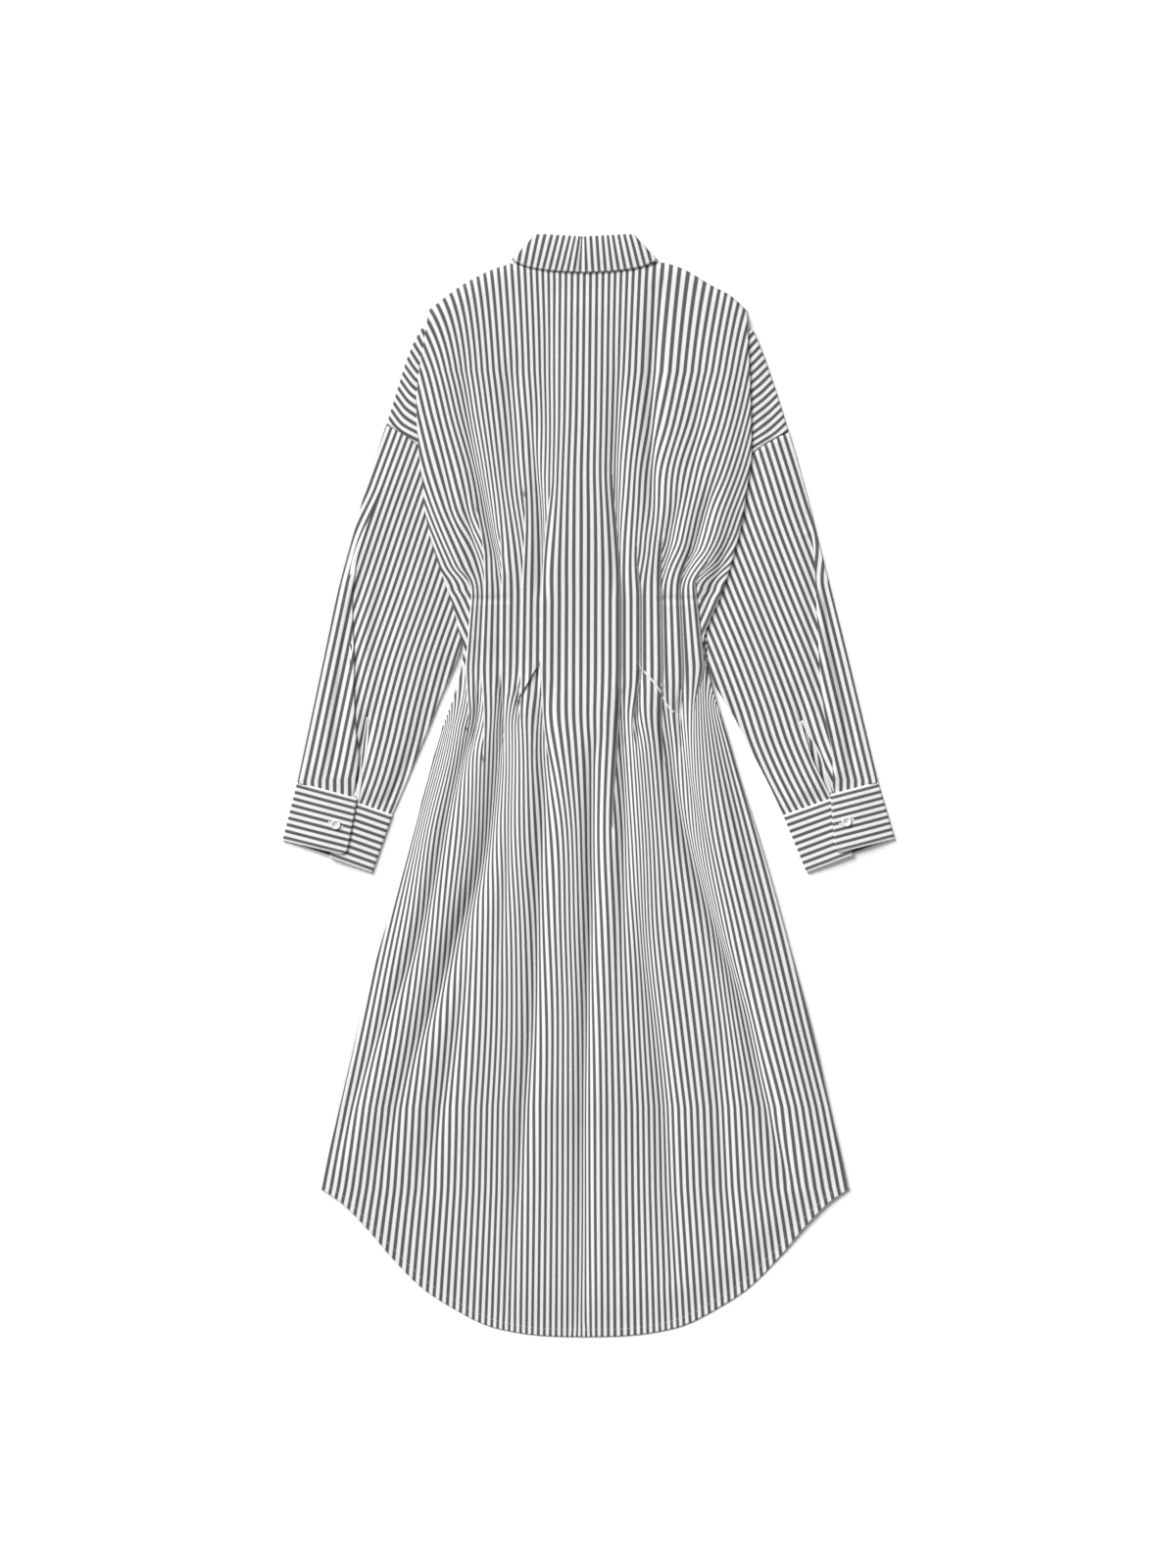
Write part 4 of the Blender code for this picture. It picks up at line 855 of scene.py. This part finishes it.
def boundEdge(rows):
    # a narrow strip of white cloth folded over the edge of the slit, where the rows start
    grid = []
    for line in rows[:, :8]:
        into = (line[1] - line[0]) / np.linalg.norm(line[1] - line[0])
        along = lengthsAlong(line)
        grid.append([])
        for reach, rise in boundSection:
            onSleeve = np.array([np.interp(reach, along, way) for way in line.T])
            grid[-1].append((line[0] + into * reach if reach < 0 else onSleeve) + (0, 0, rise))
    return np.array(grid), np.full((len(grid), len(boundSection)), 0.5)


def makeSleeve(name, arm, node):
    rows, side = arm["arm"], arm["side"]
    left = []                             # rows from the slit outwards and round underneath
    right = []                            # rows from the inner edge to the slit
    slitFrom = sleeveLay["slitFrom"]
    stations = np.concatenate([np.linspace(0, slitFrom, 52), np.linspace(slitFrom, 9, 44)[1:]])
    into = np.concatenate([np.zeros(9), np.arange(1, 6) / 5, np.ones(20)])
    tuckedBack = sleeveLay["pleatDepth"] * np.interp(
        into, (0, 0.2, 0.4, 0.6, 0.8, 1), (0, 0.6, 1, 1.05, 0.6, 0))
    for t in stations:
        slitAt = read(arm["slit"], "across", t)
        _, _, width, up = sleevePlan(rows, t, 0.5)
        gape = read(arm["slit"], "gape", t) / width / 2 if t > slitFrom else 0.0
        pleatAt = min(read(arm["pleat"], "at", t), slitAt - gape - 3.0 / width)
        bend = bendRadius / width
        outerShares = np.linspace(pleatAt, bend, 21)[1:]
        across = np.concatenate([np.linspace(slitAt - gape, pleatAt, 9), np.full(5, pleatAt), outerShares])
        x, y, _, _ = sleevePlan(rows, t, across)
        outerField, innerField = sleeveStripes(arm, x, y)
        closed = smooth((arm["pleatFrom"] - y[8]) / 90)
        onTop = np.concatenate([np.zeros(9), (0.0, 0.05, 0.3, 0.55, 1.0),
                                1 - smooth(((pleatAt - outerShares) * width - 7) / 24)])
        z = upperLayer(x, y, across, width, arm["folds"]) + sleeveLay["pleatLip"] * closed * onTop
        z = intoCuff(t, z, 2.0) + 1.1 * smooth((slitAt - across) * width / 14 + 0.3) * nearCuff(t)
        skew = sleeveLay["cuffSkew"] * smooth((t - 7) / 2) * across / slitAt
        x = x + up[0] * skew + side * tuckedBack * closed
        y = y + up[1] * skew
        bx, by, bz = sleeveBend(rows, t, False, (50, 15, -20, -55))
        edgeNumber = sleeveStripes(arm, bx[:1], by[:1])[0][0]
        lowShares = np.linspace(bend, 1 - bend, 18)
        lx, ly, _, _ = sleevePlan(rows, t, lowShares)
        low = edgeNumber - 0.2 - (lowShares - bend) * width / arm["pitch"]
        sx, sy, sz = sleeveBend(rows, t, True, (-55, -20, 10))
        lz = intoCuff(t, lowerLayer(lx, ly), 1.2)
        left.append(([*zip(x, y, z), *zip(bx, by, bz), *zip(lx, ly, lz), *zip(sx, sy, sz)],
                     [*mix(innerField, outerField, into), *(edgeNumber - np.array((0.02, 0.08, 0.14, 0.18))),
                      *low, *(low[-1] - np.array((0.04, 0.1, 0.16)))]))
        rightShares = np.linspace(1 - bend, slitAt + gape, 30)
        ux, uy, _, _ = sleevePlan(rows, t, rightShares)
        uz = intoCuff(t, upperLayer(ux, uy, rightShares, width, arm["folds"]), 2.0)
        field = sleeveStripes(arm, ux, uy)[1]
        if t <= slitFrom:                                  # above the slit both sides meet in one line
            ux[-1], uy[-1], uz[-1] = x[0], y[0], z[0]
        right.append(([*zip(*sleeveBend(rows, t, True, (10, 40, 65))), *zip(ux, uy, uz)],
                      [*(field[0] + np.array((0.12, 0.08, 0.04))), *field]))
    blocks = []
    middle = np.array([*sleevePlan(rows, 9, 0.5)[:2], 1.9])
    for block in (left, right):
        end = np.array(block[-1][0]) - (up[0] * 2.2, up[1] * 2.2, 0.0)
        block.append((middle + (end - middle) * (0.985, 0.985, 0.6), block[-1][1]))
        blocks.append([np.array(part) for part in zip(*block)])
    slit = np.flatnonzero(stations > slitFrom)[1:]
    blocks += [boundEdge(blocks[0][0][slit]), boundEdge(blocks[1][0][slit, ::-1])]
    makeSheet(name, node, blocks)


def makeShoulder(name, arm, upper, node):
    rows = arm["shoulder"]
    seamY, pitch, steep, bendAt, flat = arm["shoulderStripes"]
    grid = []
    for t in np.linspace(0, 4, 60):
        width = sleevePlan(rows, t, 0.0)[2]
        shares = np.concatenate([np.linspace(bendRadius / width, 0.6, 40), np.linspace(0.6, 1.0, 14)[1:]])
        x, y, _, _ = sleevePlan(rows, t, shares)
        z = upperLayer(x, y, shares, width, arm["shoulderFolds"]) if upper else lowerLayer(x, y)
        grid.append([*zip(*sleeveBend(rows, t, False, (0, 25, 50, 75) if upper else (-4, -25, -50, -75))),
                     *zip(x, y, z)])
    points = np.array(grid)
    x, y = points[:, :, 0], points[:, :, 1]
    away = np.clip(arm["side"] * (outerEdgeX(rows, y) - x), 0, None)
    drop = steep * away - (steep - flat) * np.log1p(np.exp((away - bendAt) / 2.5)) * 2.5
    makeSheet(name, node, [(points, (y + drop - seamY) / pitch, x)])


for which, arm in sleeves.items():
    makeSleeve(which + "Sleeve", arm, "sleeve_" + which)
    makeShoulder(which + "BackShoulder", arm, True, "back_shoulder_" + which)
    makeShoulder(which + "FrontShoulder", arm, False, "front_shoulder_" + which)
print("sleeves and shoulders laid")

cuffs = {
    "left": dict(
        topOuter=(-326.5, 2.7), topInner=(-220.1, -33.8), bottomOuter=(-343, -63), bottomInner=(-243, -99),
        lapTop=0.618, lapBottom=0.690, button=(-283.6, -45),
    ),
    "right": dict(
        topOuter=(324.3, 2.9), topInner=(218.8, -34.4), bottomOuter=(343.4, -61), bottomInner=(245.2, -98.8),
        lapTop=0.486, lapBottom=0.650, button=(289.4, -41.8),
    ),
}
cuffLay = dict(low=0.6, under=2.4, over=3.9, puff=1.6, lap=18, skewTop=4.6, skewBottom=7.5, corner=9,
               repeats=9.1, first=0.42)


def makeCuff(which, sizes):
    low, under, over, lap = (cuffLay[key] for key in ("low", "under", "over", "lap"))
    corner = cuffLay["corner"]
    grid = []
    downs = 1 - (1 - np.linspace(0, 1, 26)) ** 1.25
    for down in downs:
        outer, inner = (mix(np.array(sizes["top" + edge]), np.array(sizes["bottom" + edge]), down)
                        for edge in ("Outer", "Inner"))
        chord, up = chordOf(outer, inner)
        width = np.hypot(*chord)
        lapAt = mix(sizes["lapTop"], sizes["lapBottom"], down)
        lapped = lapAt - lap / width
        skew = mix(cuffLay["skewTop"], cuffLay["skewBottom"], down)
        toEnd = (1 - down) * 66.0
        if toEnd < corner:                             # the lapping end has a round corner
            lapAt -= (corner - math.sqrt(corner**2 - (corner - toEnd) ** 2)) / width
        radius = (under - low) / 2
        bend = radius / width

        def part(shares, heights, drawn=0.0):
            places = outer + chord * shares[:, None] + up * (drawn * shares)[:, None]
            grid[-1] += zip(*places.T, np.broadcast_to(heights, shares.shape))

        def turned(angles, isInner):
            turns = np.radians(angles)
            shares = radius * (1 - np.cos(turns)) / width
            part(1 - shares if isInner else shares, low + radius * (1 + np.sin(turns)))

        def crown(shares):
            return cuffLay["puff"] * down * (1 - (2 * shares - 1) ** 2)

        grid.append([])
        shares = np.linspace(lapAt, bend, 34)
        rise = smooth((shares - bend) / (lapped - bend) * 1.25)
        part(shares, mix(under, over, rise) + crown(shares), skew / lapAt)
        turned((60, 25, 0, -25, -60), False)
        part(np.linspace(bend, 1 - bend, 22), low)
        turned((-60, -25, 0, 25, 60), True)
        shares = np.linspace(1 - bend, lapped, 26)
        part(shares, under + crown(shares))
    points = np.array(grid)
    numbers = np.repeat((cuffLay["first"] + cuffLay["repeats"] * downs)[:, None], points.shape[1], axis=1)
    along = np.array([lengthsAlong(row[:, :2]) for row in points])
    piece = makeSheet(which + "Cuff", "cuff_" + which, [(points, numbers, along)],
                      cloth["band"])
    return piece, points


cuffPieces = {which: makeCuff(which, sizes) for which, sizes in cuffs.items()}
print("cuffs made")

# The collar, from centre back round the neck to centre front, by the distance from the centre.
leaf = table(
    "t    rollX  rollY  edgeX  edgeY",
    (0,       0, 614.8,     0, 573.6),
    (1,     -28, 616.2,   -39,   576),
    (2,     -46, 617.2,   -68, 581.5),
    (2.6, -52.4, 616.9, -79.9, 586.8),
    (3.4, -52.4, 616.5, -79.9, 586.6),
    (4,     -50,   598,   -82,   562),
    (5,     -39,   568,   -79,   524),
    (6,     -22,   545,   -69,   494),
    (7,      -3,   533,   -54,   468),
)
stand = table(
    "t    reach  seamY",
    (0,       0, 585.2),
    (1,      40, 586.2),
    (2,      62, 588.4),
    (2.6,    72,   590),
    (3.4,    73,   587),
    (4,      70,   574),
    (5,      55,   540),
    (6,      32,   517),
    (7,       0,   504),
)
# stripes of the leaf at its roll and at its free edge, the centre pinched at the roll
leafStripes = table(
    "count   roll   edge",
    (-14,    -100,  -106),
    (-11,     -79, -85.7),
    (-8,    -56.6, -64.2),
    (-6,    -41.2,   -51),
    (-4,    -27.6,   -37),
    (-3,    -20.8, -30.4),
    (-2,    -15.2, -23.4),
    (-1,    -10.2, -16.4),
    (0,      -7.4,  -9.6),
    (1,        -4,  -2.3),
    (2,       2.5,     5),
    (4,        16,  19.1),
    (6,      27.4,    34),
    (9,      46.9,  56.4),
    (12,       67,  77.2),
    (15,       88,    98),
)
collarLay = dict(bendRadius=2.2, middle=2.8, fold=0.75, back=4, roll=0.8, standLap=15)


def leafRails(t):
    roll, edge = (np.array([*(read(leaf, end + axis, t) for axis in "XY"), 0.0]) for end in ("roll", "edge"))
    depth = np.linalg.norm(edge - roll)
    down = (edge - roll) / depth
    turned = math.pi * min(max((t - 2.6) / 0.8, 0.0), 1.0)
    toCentre = np.array([-down[1], down[0], 0.0])
    inner = toCentre * math.sin(turned) - (0, 0, math.cos(turned))
    return roll + (0, 0, collarLay["middle"]) - inner * collarLay["bendRadius"], down, depth, inner


def mirrored(points, side):
    points = np.array(points, float)
    points[..., 0] = centreX - side * points[..., 0]
    return points


def leafSection(t, side):
    start, down, depth, inner = leafRails(t)
    fold, roll = collarLay["fold"], collarLay["roll"]
    points = [start + down * reach + inner * fold * 2 for reach in (collarLay["back"] + 0.5, 2.4)]
    for turn in np.radians((90, 60, 30, 0, -30, -60)):
        reach = roll * (1 - math.cos(turn)) + 0.3
        points.append(start + down * reach + inner * fold * (1 + math.sin(turn)))
    shares = np.array([*np.linspace(0, 0.9, 12), 0.95, 1.0])
    for share in shares:
        point = start + down * mix(roll + 0.5, depth - 0.5, share)
        if t < 2.6:
            # the leaf stands a little off the stand, and is pinched at the centre back
            lift = 0.9 * math.sin(math.pi * min(share * 1.1, 1.0)) * smooth((2.6 - t) / 0.7)
            off = centreX - side * point[0]
            pinch = 1.5 * math.exp(-((off + 8.2 + share * 1.5) / 2.6) ** 2) * (1 - 0.55 * share)
            ridge = 0.9 * math.exp(-((off + 13.5 + share * 3) / 3.4) ** 2) * (1 - 0.6 * share)
            point = point + (0, 0, lift - pinch + ridge)
        points.append(point)
    return mirrored(points, side), np.concatenate([np.zeros(8), shares])


def roundNeck(front, shoulder, back):
    # stations from one front edge round to the centre back
    return np.concatenate([np.linspace(7, 3.4, front), np.linspace(3.4, 2.6, shoulder)[1:],
                           np.linspace(2.6, 0, back)[1:]])


def makeLeaf():
    stations = roundNeck(34, 14, 62)
    count = len(stations)
    sweep = [*stations, *stations[-2::-1]]
    counts, roll, edge = leafStripes.values()
    points, numbers = [], []
    for i, t in enumerate(sweep):
        section, shares = leafSection(t, -1 if i < count else 1)
        points.append(section)
        numbers.append([np.interp(point[0], mix(roll, edge, share), counts)
                        for point, share in zip(section, shares)])
    points, numbers = np.array(points), np.array(numbers)
    # past the neck the stripes run on at their flat spacing
    for i, back in [(i, 1) for i in range(count)[::-1]] + [(i, -1) for i in range(count, len(sweep))]:
        if sweep[i] > 2.6:
            step = np.linalg.norm(points[i] - points[i + back], axis=1)
            numbers[i] = numbers[i + back] - back * step / cloth["repeat"]
    makeSheet("collarLeaf", "collar_leaf", [(points, numbers)], cloth["band"])


def makeStand():
    def section(t, side):
        start, down, _, inner = leafRails(t)
        upper = start + down * (collarLay["back"] + 0.8) + inner * collarLay["fold"] * 2
        seam = np.array([-read(stand, "reach", t), read(stand, "seamY", t), collarLay["middle"]])
        seam = seam - inner * (collarLay["bendRadius"] - 2 * collarLay["fold"])
        points = mirrored([mix(upper, seam, share) for share in np.linspace(0, 1, 7)], side)
        over = frontUnder(points[:, 0], points[:, 1]) + 0.5
        points[:, 2] = mix(points[:, 2], np.maximum(points[:, 2], over), smooth(t - 4))
        return points

    def end(side):
        points = section(7, side)
        points[:, 0] -= side * collarLay["standLap"]
        points[:, 2] = frontUnder(points[:, 0], points[:, 1]) + 0.5
        return points

    lapped = (0, 0, 1.3)                  # the end that lies over the other
    stations = roundNeck(30, 9, 22)
    points = np.array([end(-1) + lapped,
                       *(section(t, -1) + np.array(lapped) * smooth((t - 5) / 1.2) for t in stations),
                       *(section(t, 1) for t in stations[-2::-1]), end(1)])
    numbers = np.repeat(lengthsAlong(points[:, 3])[:, None] / cloth["repeat"], points.shape[1], axis=1)
    return makeSheet("collarStand", "collar_stand", [(points, numbers)], cloth["band"])


makeLeaf()
collarStand = makeStand()
print("collar made")

# a button: radius and height, from the rim's foot over to the well
buttonProfile = ((5.15, 0), (5.42, 0.25), (5.5, 0.7), (5.42, 1.2), (5.1, 1.62), (4.6, 1.8), (4.1, 1.66),
                 (3.7, 1.32))


def makeButton(name, node, centre, under, faceDown=False):
    shape = bmesh.new()

    def ring(x, y, radius, height, sides):
        return [shape.verts.new((x + radius * math.cos(a), y + radius * math.sin(a), height))
                for a in np.linspace(0, 2 * math.pi, sides, endpoint=False)]

    def wall(lower, higher):
        for corners in zip(lower, lower[1:] + lower[:1], higher[1:] + higher[:1], higher):
            shape.faces.new(corners)

    rings = [ring(0, 0, radius, height, 40) for radius, height in buttonProfile]
    for lower, higher in zip(rings, rings[1:]):
        wall(lower, higher)
    rims = [rings[0]], [rings[-1]]
    for turn in np.radians((45, 135, 225, 315)):
        place = buttonSizes["holeAt"] * math.cos(turn), buttonSizes["holeAt"] * math.sin(turn)
        hole = [ring(*place, buttonSizes["hole"], height, 12) for height in (0.0, buttonProfile[-1][1])]
        wall(*hole)
        for face, rim in zip(rims, hole):
            face.append(rim)
    for face in rims:
        pairs = [pair for rim in face for pair in zip(rim, rim[1:] + rim[:1])]
        edges = [shape.edges.get(pair) or shape.edges.new(pair) for pair in pairs]
        bmesh.ops.triangle_fill(shape, use_beauty=True, use_dissolve=False, edges=edges)
    for vert in shape.verts:
        x, y, z = vert.co
        y, z = (-y, buttonSizes["height"] - z) if faceDown else (y, z)
        vert.co = Vector((centre[0] + x, centre[1] + y, under + z)) * mm
    handOver(addShape(name, shape, pearl), "pearl_button", node)


for which, sizes in cuffs.items():
    makeButton(which + "CuffButton", "cuff_button_" + which, sizes["button"], 5.55)
for number, y in enumerate(buttonPlaces):
    makeButton(f"frontButton{number:02d}", f"front_button_{number:02d}", (centreX, y), 0.05, faceDown=True)
print("buttons made")

stitch = dict(pitch=2.7, length=2.1, radius=0.13, uneven=0.12, seed=4)


def stitchTree():
    # short threads along a curve, or across it for a buttonhole
    tree = bpy.data.node_groups.new("stitchRow", "GeometryNodeTree")
    node = nodeMaker(tree)
    sockets = dict(Geometry="Geometry", pitch="Float", length="Float", radius="Float", uneven="Float",
                   seed="Int", turn="Rotation", finish="Material")
    for name, kind in sockets.items():
        tree.interface.new_socket(name, in_out="INPUT", socket_type="NodeSocket" + kind)
    tree.interface.new_socket("Geometry", in_out="OUTPUT", socket_type="NodeSocketGeometry")
    given = node("NodeGroupInput").outputs
    spaced = node("GeometryNodeResampleCurve", mode="LENGTH", named={
        "Curve": given["Geometry"], "Length": given["pitch"]})
    threadShape = node("GeometryNodeMeshCylinder", named={
        "Vertices": 6, "Radius": given["radius"], "Depth": given["length"]})
    lying = node("GeometryNodeTransform", named={
        "Geometry": threadShape.outputs["Mesh"], "Rotation": given["turn"]})
    heading = node("FunctionNodeAlignRotationToVector", axis="X", pivot_axis="Z", named={
        "Vector": node("GeometryNodeInputTangent").outputs[0]})
    low = node("ShaderNodeMath", 1.0, given["uneven"], operation="SUBTRACT")
    size = node("FunctionNodeRandomValue", None, None, low.outputs[0], 1.0, named={"Seed": given["seed"]})
    rows = node("GeometryNodeInstanceOnPoints", named={
        "Points": spaced.outputs["Curve"], "Instance": lying.outputs["Geometry"],
        "Rotation": heading.outputs["Rotation"], "Scale": size.outputs[1]})
    real = node("GeometryNodeRealizeInstances", rows.outputs["Instances"])
    finish = node("GeometryNodeSetMaterial", named={
        "Geometry": real.outputs["Geometry"], "Material": given["finish"]})
    node("NodeGroupOutput", finish.outputs["Geometry"])
    return tree


stitchRow = stitchTree()


def makeStitches(name, paths, across=False, **sizes):
    sizes = {**stitch, **sizes}
    curve = bpy.data.curves.new(name + "Path", "CURVE")
    curve.dimensions = "3D"
    for path in paths:
        spline = curve.splines.new("POLY")
        spline.points.add(len(path) - 1)
        for point, place in zip(spline.points, path):
            point.co = (*(np.array(place) * mm), 1.0)
    guide = addObject(name + "Path", curve)
    rows = guide.modifiers.new("stitches", "NODES")
    rows.node_group = stitchRow
    given = {s.name: s.identifier for s in stitchRow.interface.items_tree if s.in_out == "INPUT"}
    for key in ("pitch", "length", "radius"):
        rows[given[key]] = sizes[key] * mm
    rows[given["uneven"]] = sizes["uneven"]
    rows[given["seed"]] = sizes["seed"]
    rows[given["turn"]] = (math.pi / 2, 0.0, 0.0) if across else (0.0, math.pi / 2, 0.0)
    rows[given["finish"]] = thread
    mesh = bpy.data.meshes.new_from_object(guide.evaluated_get(bpy.context.evaluated_depsgraph_get()))
    mesh.name = name
    bpy.data.objects.remove(guide, do_unlink=True)
    handOver(addObject(name, mesh), "striped_cotton")


def onCloth(pieces, places, off=0.1, below=False):
    # plan places laid on the upper side of the cloth, or on its underside
    depsgraph = bpy.context.evaluated_depsgraph_get()
    trees = [BVHTree.FromObject(piece, depsgraph) for piece in pieces]
    start, way = (-5.0, 1) if below else (60.0, -1)
    laid = []
    for x, y in places:
        hits = [tree.ray_cast(Vector((x, y, start)) * mm, Vector((0, 0, way)))[0] for tree in trees]
        heights = [hit.z / mm for hit in hits if hit]
        if heights:
            laid.append((x, y, (min(heights) if below else max(heights)) - way * off))
    return laid


def makeButtonhole(name, piece, centre, along, length, below=False):
    # close threads on both sides of a cut, and a bar at each end
    centre, along = np.array(centre, float), np.array(along, float)
    over = np.array((-along[1], along[0]))

    def path(reaches, side, off):
        return onCloth([piece], [centre + along * reach + over * side for reach in reaches], off, below)

    sides = [path(np.linspace(-length / 2, length / 2, 9), side, 0.08) for side in (-0.75, 0.75)]
    bars = [path((end - 0.45, end + 0.45), 0.0, 0.16) for end in (-length / 2, length / 2)]
    makeStitches(name, sides, across=True, pitch=0.42, length=1.3, radius=0.2)
    makeStitches(name + "Bars", bars, across=True, pitch=0.4, length=2.9, radius=0.22)


def threadButton(name, centre, height):
    x, y = centre
    reach = buttonSizes["holeAt"] * 0.707
    paths = [[(x, y + side - 0.3, height), (x, y + side + 0.31, height)] for side in (-reach, reach)]
    makeStitches(name, paths, across=True, pitch=0.3, length=2 * reach + 0.5, radius=0.16, uneven=0.0)


hemXs = np.linspace(-292, 284, 260)
makeStitches("hemStitches", [onCloth([back], [(x, hemY(x) + 8.0) for x in hemXs])])
frontHem = [(x, hemY(x, hem["frontShare"]) + 8.0) for x in hemXs]
makeStitches("frontHemStitches", [onCloth([frontLeft, frontRight], frontHem, below=True)])
placket = [onCloth([frontRight], [(centreX + off, y) for y in np.linspace(490, -540, 300)], below=True)
           for off in (-12.0, 12.0)]
makeStitches("placketStitches", placket)

for which, (piece, rows) in cuffPieces.items():
    raised = rows + np.array((0, 0, 0.47))
    around = [*raised[23, 32:1:-1], *raised[23:1:-1, 1], *raised[1, 1:33]]
    makeStitches(which + "CuffStitches", [around, list(raised[23, -25:-1]), list(raised[1, -25:-1])])
    run = np.subtract(cuffs[which]["topInner"], cuffs[which]["topOuter"])
    button = cuffs[which]["button"]
    makeButtonhole(which + "CuffButtonhole", piece, button, run / np.hypot(*run), 16.5)
    threadButton(which + "CuffThread", button, 6.92)

stations = np.linspace(6.9, 0, 120)
makeStitches("collarStitches", [[leafSection(t, side)[0][20] - leafRails(t)[3] * (-side * 0.47, 0.47, 0.47)
                                 for side in (-1, 1) for t in stations[::-side]]])

makeButtonhole("standButtonhole", collarStand, (centreX, buttonPlaces[0]), (1, 0), 13.0, below=True)
for number, y in enumerate(buttonPlaces):
    if number:
        makeButtonhole(f"frontButtonhole{number:02d}", frontRight, (centreX, y), (0, 1), 13.0, below=True)
    threadButton(f"frontThread{number:02d}", (centreX, y), 0.5)
print("stitching done")


def makeFloor(half=16.0):
    mesh = bpy.data.meshes.new("floor")
    corners = [(-half, -half, 0), (half, -half, 0), (half, half, 0), (-half, half, 0)]
    mesh.from_pydata(corners, [], [(0, 1, 2, 3)])
    addObject("floor", mesh, plainMaterial("paleFloor", (0.93, 0.93, 0.93), 0.95, 0.1, 0.01, 2.0))


def sunLight(name, towards, angle, strength):
    # even over the whole floor, with the soft edge of a large lamp far away
    data = bpy.data.lights.new(name, "SUN")
    data.angle = angle
    data.energy = strength
    lamp = addObject(name, data)
    lamp.location = towards
    lamp.rotation_euler = Vector(towards).to_track_quat("Z", "Y").to_euler()


view = dict(height=1.76, distance=6.0, middle=(-0.00055, 0.00055))


def makeCamera():
    lens = bpy.data.cameras.new("camera")
    lens.sensor_fit = "VERTICAL"
    lens.sensor_height = 36.0
    lens.lens = lens.sensor_height * view["distance"] / view["height"]
    camera = addObject("camera", lens)
    camera.location = (*view["middle"], view["distance"])
    bpy.context.scene.camera = camera


makeFloor()
sunLight("key", (-4.4, 4.8, 4.3), 0.55, 4.6)
sunLight("fill", (4.8, -2.8, 6.0), 0.9, 0.45)
world = bpy.data.worlds.new("studio")
world.use_nodes = True
world.node_tree.nodes["Background"].inputs["Color"].default_value = (1, 1, 1, 1)
world.node_tree.nodes["Background"].inputs["Strength"].default_value = 0.2
bpy.context.scene.world = world
bpy.context.scene.view_settings.view_transform = "Standard"
makeCamera()
